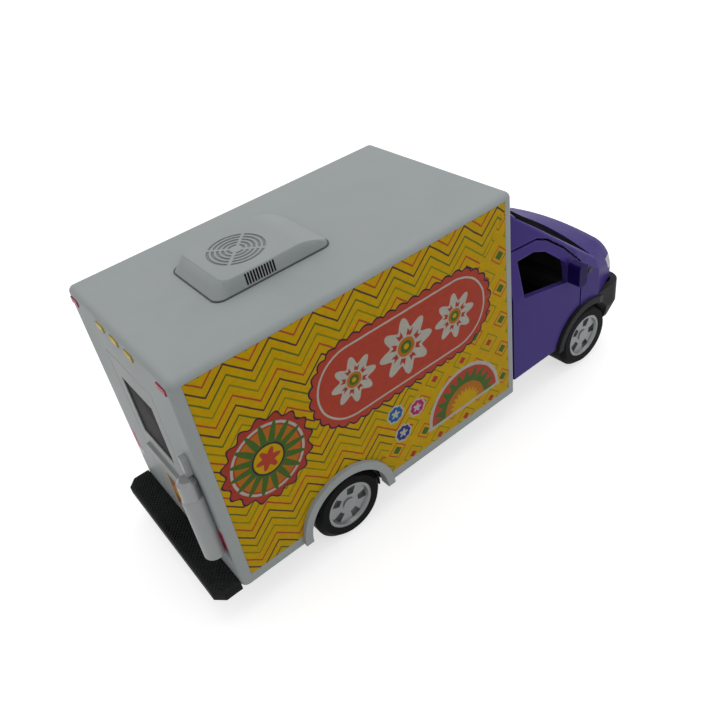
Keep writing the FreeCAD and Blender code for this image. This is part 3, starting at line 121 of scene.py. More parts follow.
def mixColour(tree, factor, first, second, blend="MIX"):
    # inputs 6 and 7 and output 2 are the node's colour ones
    first, second = (colour if isinstance(colour, bpy.types.NodeSocket) else (*colour, 1.0)
                     for colour in (first, second))
    inputs = {0: factor, 6: first, 7: second}
    return addNode(tree, "Mix", inputs, data_type="RGBA", blend_type=blend).outputs[2]


def tint(tree, shade, mask, share, ink):
    # a shade turned towards an ink by a share of a mask
    return mixColour(tree, times(tree, mask, share), shade, ink)


def noise(tree, place, scale, detail=2.0, roughness=0.5):
    inputs = {"Vector": place, "Scale": scale, "Detail": detail, "Roughness": roughness}
    return addNode(tree, "TexNoise", inputs).outputs["Fac"]


def objectPlace(tree):
    return addNode(tree, "TexCoord").outputs["Object"]


def objectAxes(tree):
    # object coordinates X, Y and Z, in metres
    return addNode(tree, "SeparateXYZ", {0: objectPlace(tree)}).outputs


studioSetup = {
    "floorSize": 6.0,  # m
    "floorColour": (0.62, 0.62, 0.62),
    "floorGlow": 0.64,  # share of the floor's white that a shadow leaves
    "floorPaper": (0.60, 0.60, 0.60),  # what the lamps add to it
    "white": (1.0, 1.0, 1.0),
    "worldStrength": 0.62,
    "lamps": (
        # name, place (m), aim (m), size (m), watts
        ("overheadLamp", (0.22, 0.10, 0.80), (0, 0, 0.03), 0.9, 2.2),
        ("sideLamp", (0.10, -0.85, 0.50), (0, 0, 0.03), 0.8, 0.65),
        ("backLamp", (-0.85, 0.05, 0.40), (0, 0, 0.03), 0.7, 0.15),
    ),
}


def plainShader(tree, kind, colour, **more):
    return addNode(tree, kind, {"Color": (*colour, 1.0), **more}).outputs[0]


def outputByRay(tree, kind, plain, seen):
    # the second shader for what the eye, a reflection or a glass sees, the first for light
    # on its way
    path = addNode(tree, "LightPath")
    direct = maths(tree, "MAXIMUM", path.outputs["Is Camera Ray"], path.outputs["Is Glossy Ray"])
    direct = maths(tree, "MAXIMUM", direct, path.outputs["Is Transmission Ray"])
    mix = addNode(tree, "MixShader", {0: direct, 1: plain, 2: seen})
    addNode(tree, kind, {"Surface": mix.outputs[0]})


def makeStudio(setup):
    # the floor is white to the eye but for the shadow, and a plain pale floor to everything else
    corners = np.array([(-1, -1, 0), (1, -1, 0), (1, 1, 0), (-1, 1, 0)]) * setup["floorSize"] / 2
    mesh = bpy.data.meshes.new("studioFloor")
    mesh.from_pydata(corners.tolist(), [], [(0, 1, 2, 3)])
    floor = bpy.data.objects.new("studioFloor", mesh)
    bpy.context.scene.collection.objects.link(floor)
    material = bpy.data.materials.new("studioFloor")
    tree = emptyTree(material)
    paper = plainShader(tree, "BsdfDiffuse", setup["floorPaper"])
    glow = plainShader(tree, "Emission", setup["white"], Strength=setup["floorGlow"])
    both = addNode(tree, "AddShader", {0: paper, 1: glow})
    outputByRay(tree, "OutputMaterial", plainShader(tree, "BsdfDiffuse", setup["floorColour"]),
                both.outputs[0])
    mesh.materials.append(material)

    world = bpy.data.worlds.new("studioWorld")
    bpy.context.scene.world = world
    tree = emptyTree(world)
    plain, seen = (plainShader(tree, "Background", setup["white"], Strength=strength)
                   for strength in (setup["worldStrength"], 1.0))
    outputByRay(tree, "OutputWorld", plain, seen)

    for name, place, aim, size, watts in setup["lamps"]:
        lamp = bpy.data.lights.new(name, "AREA")
        lamp.shape = "DISK"
        lamp.size = size
        lamp.energy = watts
        holder = bpy.data.objects.new(name, lamp)
        holder.location = place
        away = Vector(place) - Vector(aim)
        holder.rotation_euler = away.to_track_quat("Z", "Y").to_euler()
        bpy.context.scene.collection.objects.link(holder)

    bpy.context.scene.view_settings.view_transform = "Standard"


makeCamera(cameraSetup)
makeStudio(studioSetup)
print("stage 2: camera and studio")


# effects shared by the finishes
def newGroup(name, inputs, outputs):
    tree = bpy.data.node_groups.new(name, "ShaderNodeTree")
    for label, value in inputs.items():
        socket = tree.interface.new_socket(name=label, in_out="INPUT",
                                           socket_type="NodeSocketFloat")
        socket.default_value = value
    for label in outputs:
        tree.interface.new_socket(name=label, in_out="OUTPUT", socket_type="NodeSocketFloat")
    given, out = tree.nodes.new("NodeGroupInput"), tree.nodes.new("NodeGroupOutput")
    return tree, given.outputs, out.inputs


def useGroup(tree, group, **values):
    return addNode(tree, "Group", values, node_tree=group).outputs


grainSetup = {
    "fine": (3.0, 0.6),  # detail and roughness of the noise
    "slow": (3.0, 0.55),
    "fineShare": 0.4,  # of the grain in the height, the rest is flow marks
    "mottle": (0.3, 0.7),  # slow noise of the dark and of the light marks
}


def makeGrainGroup(setup):
    # fine spark-eroded grain of a plastic mould, with slow flow marks under it; sizes in mm
    tree, given, out = newGroup(
        "mouldedGrain", {"GrainSize": 0.25, "FlowSize": 14.0}, ["Height", "Mottle"],
    )
    place = objectPlace(tree)
    fine, slow = (noise(tree, place, maths(tree, "DIVIDE", perMetre, given[size]), *setup[kind])
                  for size, kind in (("GrainSize", "fine"), ("FlowSize", "slow")))
    share = setup["fineShare"]
    tree.links.new(maths(tree, "MULTIPLY_ADD", fine, share, times(tree, slow, 1.0 - share)),
                   out["Height"])
    tree.links.new(ramp(tree, slow, *setup["mottle"]), out["Mottle"])
    return tree


roundedEdgeSetup = {
    "samples": 4,
    "edge": (0.99, 0.80),  # cosine between the two normals, sound and worn
    "patches": (420.0, 4.0, 0.65),  # scale, detail and roughness of the noise
    "patchShare": 0.6,
    "patchBlur": 0.25,
}


def makeRoundedEdgeGroup(setup):
    # edges that hands have rubbed, also used for painted highlight and lamp rims: where a normal
    # rounded over the edge leaves the true one
    tree, given, out = newGroup("roundedEdgeMask", {"Radius": 0.4, "Patchiness": 0.5}, ["Mask"])
    radius = times(tree, given["Radius"], mm)
    rounded = addNode(tree, "Bevel", {"Radius": radius}, samples=setup["samples"]).outputs[0]
    true = addNode(tree, "NewGeometry").outputs["Normal"]
    dot = addNode(tree, "VectorMath", {0: rounded, 1: true}, operation="DOT_PRODUCT")
    edge = ramp(tree, dot.outputs["Value"], *setup["edge"])
    patches = noise(tree, objectPlace(tree), *setup["patches"])
    low = times(tree, given["Patchiness"], setup["patchShare"])
    worn = ramp(tree, patches, low, maths(tree, "ADD", low, setup["patchBlur"]))
    tree.links.new(times(tree, edge, worn), out["Mask"])
    return tree


scratchSetup = {
    "turns": (23, -38, 81),  # degrees about Z
    "stretch": (45, 1500, 900),  # scale along the scratch and across it
    "lines": (1.0, 2.0, 0.6),  # scale, detail and roughness of the noise
    "thin": (0.70, 0.76),
    "patches": (60.0, 3.0),
    "patchEdge": (0.45, 0.65),
}


def makeScratchGroup(setup):
    # hairline scratches in three directions: noise stretched thirty times along its line
    tree, given, out = newGroup("hairlineScratches", {"Amount": 0.5}, ["Mask"])
    place = objectPlace(tree)
    total = None
    for turn in setup["turns"]:
        inputs = {"Vector": place, "Scale": setup["stretch"],
                  "Rotation": (0, 0, math.radians(turn))}
        lines = noise(tree, addNode(tree, "Mapping", inputs).outputs[0], *setup["lines"])
        thin = ramp(tree, lines, *setup["thin"])
        total = thin if total is None else maths(tree, "MAXIMUM", total, thin)
    spread = ramp(tree, noise(tree, place, *setup["patches"]), *setup["patchEdge"])
    tree.links.new(times(tree, times(tree, total, spread), given["Amount"]), out["Mask"])
    return tree


dustSetup = {
    "up": (0.1, 0.95),  # upward share of the normal, bare and dusty
    "patches": (75.0, 5.0, 0.6),  # scale, detail and roughness of the noise
    "patchEdge": (0.35, 0.75),
    "speckScale": 260.0,
    "speckEdge": (0.055, 0.03),  # in cells
    "speckChoice": (0.72, 0.76),  # random value of the cells that hold a speck
}


def makeDustGroup(setup):
    # pale dust that settles on what looks up, thicker in patches, with scattered specks
    tree, given, out = newGroup("settledDust", {"Amount": 0.5}, ["Film", "Specks"])
    place = objectPlace(tree)
    normal = addNode(tree, "NewGeometry").outputs["Normal"]
    up = ramp(tree, addNode(tree, "SeparateXYZ", {0: normal}).outputs["Z"], *setup["up"])
    patches = ramp(tree, noise(tree, place, *setup["patches"]), *setup["patchEdge"])
    tree.links.new(times(tree, times(tree, up, patches), given["Amount"]), out["Film"])
    cells = {"Vector": place, "Scale": setup["speckScale"]}
    dots = addNode(tree, "TexVoronoi", cells, feature="F1").outputs
    near = ramp(tree, dots["Distance"], *setup["speckEdge"])
    chance = addNode(tree, "SeparateColor", {0: dots["Color"]}).outputs[0]
    specks = times(tree, near, ramp(tree, chance, *setup["speckChoice"]))
    tree.links.new(times(tree, specks, given["Amount"]), out["Specks"])
    return tree


def makeRosetteGroup():
    # ratio of the distance from a centre to a scalloped edge: edge = 1 + depth * cos(lobes * angle)
    tree, given, out = newGroup(
        "scallopedShape",
        {"X": 0.0, "Z": 0.0, "CentreX": 0.0, "CentreZ": 0.0, "Size": 5.0, "Lobes": 8.0,
         "Depth": 0.1},
        ["Ratio"],
    )
    across, up = (
        maths(tree, "DIVIDE", maths(tree, "SUBTRACT", given[axis], given["Centre" + axis]),
              given["Size"])
        for axis in "XZ")
    squares = maths(tree, "MULTIPLY_ADD", up, up, times(tree, across, across))
    reach = maths(tree, "SQRT", squares)
    angle = maths(tree, "ARCTAN2", up, across)
    wave = maths(tree, "COSINE", times(tree, angle, given["Lobes"]))
    edge = maths(tree, "MULTIPLY_ADD", wave, given["Depth"], 1.0)
    tree.links.new(maths(tree, "DIVIDE", reach, edge), out["Ratio"])
    return tree


grainGroup = makeGrainGroup(grainSetup)
roundedEdgeGroup = makeRoundedEdgeGroup(roundedEdgeSetup)
scratchGroup = makeScratchGroup(scratchSetup)
dustGroup = makeDustGroup(dustSetup)
rosetteGroup = makeRosetteGroup()
print("stage 3: shared effects")


# moulded and painted finishes
def newMaterial(name):
    material = bpy.data.materials.new(name)
    tree = emptyTree(material)
    shader = addNode(tree, "BsdfPrincipled")
    addNode(tree, "OutputMaterial", {"Surface": shader.outputs[0]})
    return material, tree, shader


def bumpNormal(tree, height, strength, depth):
    inputs = {"Height": height, "Strength": strength, "Distance": depth * mm}
    return addNode(tree, "Bump", inputs).outputs[0]


coatSetup = {
    "blend": 0.5,
    "facing": (0.80, 0.50),  # where the coat is gone, and where it has its full weight
}


def facingCoat(tree, weight, rough):
    # clear gloss that fades out where the surface is seen edge on
    facing = addNode(tree, "LayerWeight", {"Blend": coatSetup["blend"]}).outputs["Facing"]
    weight = ramp(tree, facing, *coatSetup["facing"], 0.0, weight)
    return {"Coat Weight": weight, "Coat Roughness": rough}


# what the moulded finishes have in common; a share is of the effect's mask
surfaceSetup = {
    "flow": 13.0,  # mm, of a flow mark
    "rub": 0.35,  # mm, round an edge
    "patchiness": 0.5,
    "pale": (0.75, 0.16),  # a rubbed colour, also the rims' painted highlight: share of the colour, plus grey
    "mottle": (0.965, 1.03),  # of the colour, in its dark and its light marks
    "flakes": (3600.0, 1.0),  # scale and detail of the noise
    "flakeEdge": (0.58, 0.72),
    "film": (0.42, 0.41, 0.38),
    "filmShare": 0.22,
    "speck": (0.55, 0.54, 0.50),
    "speckShare": 0.6,
    "scratchShare": 0.22,
    "roughSpread": 0.10,
    "roughDust": 0.5,
    "roughScratch": 0.15,
    "bump": 0.5,
    "scratchCut": -0.8,  # height of a scratch against the grain's
    "glossRough": 0.08,
}

plasticSetup = {
    # grain size and depth in mm; edge, dust, scratch and flake are amounts, gloss a coat's weight
    "boxPlastic": dict(colour=(0.322, 0.349, 0.349), rough=0.46, grain=0.30, depth=0.010,
                       edge=0.22, dust=0.35, scratch=0.5, specular=0.12),
    "roofUnitPlastic": dict(colour=(0.316, 0.342, 0.341), rough=0.44, grain=0.26, depth=0.008,
                            edge=0.20, dust=0.30, scratch=0.35, specular=0.12),
    "bottlePlastic": dict(colour=(0.320, 0.336, 0.338), rough=0.34, grain=0.40, depth=0.006,
                          edge=0.30, dust=0.20, scratch=0.25, specular=0.2, gloss=0.3),
    "doorPanelPlastic": dict(colour=(0.305, 0.322, 0.320), rough=0.42, grain=0.28, depth=0.008,
                             edge=0.35, dust=0.20, scratch=0.35, specular=0.12),
    "trimPlastic": dict(colour=(0.020, 0.021, 0.023), rough=0.52, grain=0.22, depth=0.016,
                        edge=0.14, dust=0.16, scratch=0.3, specular=0.07),
    "stepPlastic": dict(colour=(0.010, 0.011, 0.012), rough=0.50, grain=0.24, depth=0.014,
                        edge=0.12, dust=0.14, scratch=0.25, specular=0.06),
    "basePlastic": dict(colour=(0.013, 0.014, 0.015), rough=0.48, grain=0.34, depth=0.014,
                        edge=0.16, dust=0.12, scratch=0.5, specular=0.08),
    "cabinPlastic": dict(colour=(0.010, 0.010, 0.011), rough=0.60, grain=0.30, depth=0.014,
                         edge=0.12, dust=0.12, scratch=0.1, specular=0.2),
    "slotBlack": dict(colour=(0.004, 0.004, 0.004), rough=0.7, grain=0.20, depth=0.004,
                      edge=0.0, dust=0.05, scratch=0.0, specular=0.08),
    "seatPlastic": dict(colour=(0.013, 0.013, 0.015), rough=0.62, grain=0.55, depth=0.030,
                        edge=0.12, dust=0.12, scratch=0.1, specular=0.2),
    # the roof unit's seal: a dark joint, its dark colour also painted shadow under the unit
    "sealJointAndPaintedShadow": dict(colour=(0.075, 0.082, 0.084), rough=0.65, grain=0.30, depth=0.010,
                        edge=0.05, dust=0.25, scratch=0.0, specular=0.2),
    "glassBlack": dict(colour=(0.006, 0.006, 0.008), rough=0.16, grain=1.60, depth=0.004,
                       edge=0.10, dust=0.10, scratch=0.3, specular=0.0, gloss=0.6),
    "windowBlack": dict(colour=(0.007, 0.007, 0.008), rough=0.26, grain=1.20, depth=0.004,
                        edge=0.08, dust=0.10, scratch=0.3, specular=0.002, gloss=0.4),
    # the rims' large edge amount is a painted highlight round the lip, over a little rubbed wear
    "rimSilver": dict(colour=(0.235, 0.245, 0.248), rough=0.34, grain=0.12, depth=0.003,
                      edge=0.75, dust=0.08, scratch=0.3, specular=0.4, metallic=0.6,
                      flake=0.35),
    "axleSteel": dict(colour=(0.420, 0.425, 0.430), rough=0.28, grain=0.20, depth=0.003,
                      edge=0.25, dust=0.08, scratch=0.6, specular=0.5, metallic=0.95),
    "valveSteel": dict(colour=(0.260, 0.270, 0.275), rough=0.34, grain=0.20, depth=0.004,
                       edge=0.30, dust=0.10, scratch=0.4, specular=0.5, metallic=0.5),
    "tyreBlack": dict(colour=(0.006, 0.006, 0.006), rough=0.38, grain=0.60, depth=0.006,
                      edge=0.06, dust=0.12, scratch=0.3, specular=0.008, gloss=0.08),
}

# rear door: a plain printed square low on it
doorPrint = {
    "centre": (-1.0, 18.0),  # y and z, mm
    "half": (5.2, 5.6),
    "outer": (-58.58, -58.62),  # x, mm, that parts the outer face from the rest
    "blur": 0.015,
    "rings": (
        # outline, edge as a share of the half size, ink
        ("square", 1.0, (0.43, 0.42, 0.37)),
        ("square", 0.88, (0.20, 0.07, 0.012)),
        ("diamond", 0.875, (0.42, 0.16, 0.012)),
        ("diamond", 0.575, (0.50, 0.31, 0.01)),
        ("diamond", 0.275, (0.20, 0.07, 0.012)),
    ),
}

unitSetup = {
    "corner": 2.2,  # mm
    "rake": 2.3,
    "lean": 0.4,
    "crest": 19.0,  # where the top starts to slope down, from the rear edge
    "nose": 0.45,  # height left at the front
    "slope": 1.8,  # power of the slope's curve
    "edge": 0.28,  # fillet round the top
    "edgeShare": 0.6,  # of the wall, where the wall is too low for the fillet
    "edgeSteps": 5,
    "wallShares": (0.0, 0.5, 1.0),
    "topSteps": 18,
    "around": 384,  # points in a ring
    "fanPlace": 10.6,
    "fanRadius": 5.95,
    "fanLip": 0.15,
    "fanRings": 5,
    "fanPitch": 1.02,
    "fanSlot": 0.60,
    "fanDepth": 0.20,
    "fanWall": 0.06,  # run of a slot's wall
    "fanSpoke": 0.30,  # half width of a spoke
    "spokeRun": 0.12,  # in which a slot gets its depth beside a spoke
    "slotPaintedShade": 0.66,  # painted shade in the slots, as a share of the housing's colour
    "shadeBlur": (0.04, 0.03, -0.02, 0.06),  # of a slot, of the fan's rim, either way of a spoke
    "louvres": 11,
    "louvrePlace": 6.9,
    "louvrePitch": 0.62,
    "louvreWidth": 0.39,
    "louvreLow": 0.30,
    "louvreTall": 2.40,
    "louvreLayers": (-0.25, 0.02),  # sunk in the wall, and proud of it
    "louvreCorners": 16,
}


def doorPattern(tree, colour, setup):
    # squares are max(|y|, |z|) from the middle, diamonds |y| + |z|, both on the outer face only
    axes = objectAxes(tree)
    away = []
    for axis, centre, half in zip("YZ", setup["centre"], setup["half"]):
        offset = maths(tree, "MULTIPLY_ADD", axes[axis], perMetre, -centre)
        away.append(maths(tree, "ABSOLUTE", maths(tree, "DIVIDE", offset, half)))
    measures = {"square": maths(tree, "MAXIMUM", *away), "diamond": maths(tree, "ADD", *away)}
    outer = ramp(tree, axes["X"], *(value * mm for value in setup["outer"]))
    blur = setup["blur"]
    for outline, edge, ink in setup["rings"]:
        mask = ramp(tree, measures[outline], edge + blur, edge - blur)
        colour = tint(tree, colour, mask, outer, ink)
    return colour


def fanSlotPaintedShade(tree, colour, setup):
    # painted shade in the fan's slots, a little darker than the housing: rings of one pitch,
    # counted from the outside in, left out within half a spoke's width of either diagonal
    axes = objectAxes(tree)
    middle = nodeBox("roof_unit")[0][0] + setup["fanPlace"]
    x = maths(tree, "MULTIPLY_ADD", axes["X"], perMetre, -middle)
    y = times(tree, axes["Y"], perMetre)
    squareX, squareY = times(tree, x, x), times(tree, y, y)
    radius = maths(tree, "SQRT", maths(tree, "ADD", squareX, squareY))
    inward = maths(tree, "SUBTRACT", setup["fanRadius"], radius)
    count = maths(tree, "DIVIDE", inward, setup["fanPitch"])
    share, rings = setup["fanSlot"] / setup["fanPitch"], setup["fanRings"]
    slotBlur, rimBlur, spokeLow, spokeHigh = setup["shadeBlur"]
    slot = ramp(tree, maths(tree, "FRACT", count), share + slotBlur, share - slotBlur)
    within = times(tree, ramp(tree, count, -rimBlur, rimBlur),
                   ramp(tree, count, rings + rimBlur, rings - rimBlur))
    away = maths(tree, "ABSOLUTE", maths(tree, "SUBTRACT", squareX, squareY))
    away = maths(tree, "DIVIDE", away, times(tree, radius, 2.0))
    clear = ramp(tree, away, setup["fanSpoke"] + spokeLow, setup["fanSpoke"] + spokeHigh)
    # painted shade: the slots darkened to this share of the housing's colour
    dark = tuple(setup["slotPaintedShade"] * value for value in colour)
    return tint(tree, colour, times(tree, slot, within), clear, dark)


def plasticFinish(name, setup, printOrPaintedShade=None, art=None):
    # flow marks, flakes, rubbed edges (on the rims a painted highlight), dust and scratches over
    # the colour, then the grain as bump
    material, tree, shader = newMaterial(name)
    every = surfaceSetup
    colour = printOrPaintedShade(tree, setup["colour"], art) if printOrPaintedShade else setup["colour"]
    grain = useGroup(tree, grainGroup, GrainSize=setup["grain"], FlowSize=every["flow"])
    edgeWearAndHighlight = useGroup(tree, roundedEdgeGroup, Radius=every["rub"], Patchiness=every["patchiness"])
    dust = useGroup(tree, dustGroup, Amount=setup["dust"])
    scratch = useGroup(tree, scratchGroup, Amount=setup["scratch"])
    kept, grey = every["pale"]
    pale = tuple(min(1.0, kept * value + grey) for value in setup["colour"])
    dark, light = (mixColour(tree, 1.0, colour, (level, level, level), "MULTIPLY")
                   for level in every["mottle"])
    shade = mixColour(tree, grain["Mottle"], dark, light)
    if "flake" in setup:
        flakes = noise(tree, objectPlace(tree), *every["flakes"])
        shade = tint(tree, shade, ramp(tree, flakes, *every["flakeEdge"]), setup["flake"], pale)
    # rubbed edges in the pale colour; on the rims these are a painted highlight
    for mask, share, ink in (
            (edgeWearAndHighlight["Mask"], setup["edge"], pale),
            (dust["Film"], every["filmShare"], every["film"]),
            (dust["Specks"], every["speckShare"], every["speck"]),
            (scratch["Mask"], every["scratchShare"], pale)):
        shade = tint(tree, shade, mask, share, ink)

    spread = every["roughSpread"]
    rough = maths(tree, "MULTIPLY_ADD", grain["Mottle"], spread, setup["rough"] - spread / 2)
    rough = maths(tree, "ADD", rough, times(tree, dust["Film"], every["roughDust"]))
    rough = maths(tree, "ADD", rough, times(tree, scratch["Mask"], every["roughScratch"]),
                  clamp=True)
    height = maths(tree, "MULTIPLY_ADD", scratch["Mask"], every["scratchCut"], grain["Height"])
    feed(tree, shader, {
        "Base Color": shade, "Roughness": rough,
        "Normal": bumpNormal(tree, height, every["bump"], setup["depth"]),
        "Specular IOR Level": setup["specular"], "Metallic": setup.get("metallic", 0.0),
    })
    if "gloss" in setup:
        feed(tree, shader, facingCoat(tree, setup["gloss"], every["glossRough"]))
    return material


# the door's print, and the painted shade in the roof unit's fan slots
printsAndPaintedShade = {
    "doorPanelPlastic": (doorPattern, doorPrint),
    "roofUnitPlastic": (fanSlotPaintedShade, unitSetup),
}
finishes = {name: plasticFinish(name, setup, *printsAndPaintedShade.get(name, ()))
            for name, setup in plasticSetup.items()}


# enamel of the cab: a deep violet with orange peel, rubbed to the metal only at its edges, with a
# painted highlight along them and darker mirrors partly in painted shade
enamelSetup = {
    "colour": (0.056, 0.034, 0.205),
    "deep": 0.90,  # of the colour, in its dark marks
    "flow": 20.0,  # mm, of a mark
    "peel": 1.1,  # mm
    "glow": (0.090, 0.062, 0.280),  # painted highlight along the edges, and the colour of the flakes
    "paintedHighlightEdge": (0.8, 0.0),  # mm round the edge, and patchiness
    "paintedHighlightShare": 0.55,
    "flakes": (5200.0, 1.0),  # scale and detail of the noise
    "flakeEdge": (0.62, 0.75),
    "flakeShare": 0.25,
    "metal": (0.20, 0.19, 0.24),
    "metalEdge": (0.30, 0.62),
    "metalShare": 0.28,
    "dust": 0.35,
    "film": (0.38, 0.37, 0.38),
    "filmShare": 0.10,
    "speck": (0.45, 0.44, 0.46),
    "speckShare": 0.35,
    "scratch": 0.4,
    "scratchCut": -0.6,
    "rough": 0.34,
    "roughSpread": 0.08,
    "roughScratch": 0.2,
    "bump": 0.35,
    "depth": 0.02,  # mm
    "specular": 0.02,
    "coat": (0.12, 0.14),  # weight and roughness
    "mirrorPlace": (22.4, 22.9),  # mm from the middle, where the mirrors start: their own deeper violet, with painted shade
    "mirrorDarkAndPaintedShade": (0.18, 0.13, 0.34),
}


def enamelFinish(setup):
    material, tree, shader = newMaterial("cabEnamel")
    # thin: a painted highlight along the edges; worn: rubbed to the metal
    thin, worn = (useGroup(tree, roundedEdgeGroup, Radius=radius, Patchiness=patchiness)["Mask"]
                  for radius, patchiness in (setup["paintedHighlightEdge"], setup["metalEdge"]))
    grain = useGroup(tree, grainGroup, GrainSize=setup["peel"], FlowSize=setup["flow"])
    dust = useGroup(tree, dustGroup, Amount=setup["dust"])
    scratch = useGroup(tree, scratchGroup, Amount=setup["scratch"])
    flakes = ramp(tree, noise(tree, objectPlace(tree), *setup["flakes"]), *setup["flakeEdge"])
    deep = tuple(setup["deep"] * value for value in setup["colour"])
    shade = mixColour(tree, grain["Mottle"], deep, setup["colour"])
    for mask, share, ink in ((thin, "paintedHighlightShare", "glow"), (flakes, "flakeShare", "glow"),
                             (worn, "metalShare", "metal"), (dust["Film"], "filmShare", "film"),
                             (dust["Specks"], "speckShare", "speck")):
        shade = tint(tree, shade, mask, setup[share], setup[ink])
    # the mirrors darkened: their own deeper violet, with painted shade over it
    out = times(tree, maths(tree, "ABSOLUTE", objectAxes(tree)["Y"]), perMetre)
    shade = mixColour(tree, ramp(tree, out, *setup["mirrorPlace"]), shade,
                      mixColour(tree, 1.0, shade, setup["mirrorDarkAndPaintedShade"], "MULTIPLY"))
    spread = setup["roughSpread"]
    rough = maths(tree, "MULTIPLY_ADD", grain["Mottle"], spread, setup["rough"] - spread / 2)
    rough = maths(tree, "ADD", rough, times(tree, scratch["Mask"], setup["roughScratch"]))
    height = maths(tree, "MULTIPLY_ADD", scratch["Mask"], setup["scratchCut"], grain["Height"])
    feed(tree, shader, {
        "Base Color": shade, "Roughness": rough,
        "Normal": bumpNormal(tree, height, setup["bump"], setup["depth"]),
        "Specular IOR Level": setup["specular"], **facingCoat(tree, *setup["coat"]),
    })
    return material


finishes["cabEnamel"] = enamelFinish(enamelSetup)


# clear coloured lamps: ribs inside the lens and a darker rim
lampSetup = {
    # colour, colour in the depth of a rib, roughness, rib pitch (mm), share of cloud
    "amberLamp": dict(colour=(0.58, 0.42, 0.02), deep=(0.38, 0.24, 0.01), rough=0.34,
                      pitch=0.7, cloud=0.5),
    "redLamp": dict(colour=(0.44, 0.025, 0.08), deep=(0.24, 0.01, 0.035), rough=0.34,
                    pitch=0.7, cloud=0.5),
    "clearLamp": dict(colour=(0.40, 0.42, 0.42), deep=(0.20, 0.21, 0.22), rough=0.16,
                      pitch=0.7, cloud=0.3),
    "headLamp": dict(colour=(0.50, 0.50, 0.53), deep=(0.20, 0.19, 0.25), rough=0.12,
                     pitch=1.15, cloud=0.15),
}

lensSetup = {
    "ribShare": 0.35,
    "cloud": (600.0, 2.0),  # scale and detail of the noise
    "cloudEdge": (0.35, 0.65),
    "rim": 0.45,  # mm
    "rimShare": 0.45,
    "roughSpread": 0.08,
    "bump": 0.6,
    "depth": 0.05,  # mm
    "specular": 0.15,
    "coat": 0.06,
    "coatRough": 0.08,
}


def lampFinish(name, setup):
    material, tree, shader = newMaterial(name)
    every = lensSetup
    across = times(tree, objectAxes(tree)["Y"], perMetre * 2 * math.pi / setup["pitch"])
    rib = maths(tree, "MULTIPLY_ADD", maths(tree, "SINE", across), 0.5, 0.5)
    cloud = ramp(tree, noise(tree, objectPlace(tree), *every["cloud"]), *every["cloudEdge"])
    depth = maths(tree, "MULTIPLY_ADD", rib, every["ribShare"], times(tree, cloud, setup["cloud"]))
    rim = useGroup(tree, roundedEdgeGroup, Radius=every["rim"], Patchiness=0.0)
    shade = mixColour(tree, depth, setup["colour"], setup["deep"])
    feed(tree, shader, {
        "Base Color": tint(tree, shade, rim["Mask"], every["rimShare"], setup["deep"]),
        "Roughness": maths(tree, "MULTIPLY_ADD", cloud, every["roughSpread"], setup["rough"]),
        "Normal": bumpNormal(tree, rib, every["bump"], every["depth"]),
        "Specular IOR Level": every["specular"],
        "Coat Weight": every["coat"], "Coat Roughness": every["coatRough"],
    })
    return material


for name, setup in lampSetup.items():
    finishes[name] = lampFinish(name, setup)
print("stage 4: plastics, enamel and lamps")


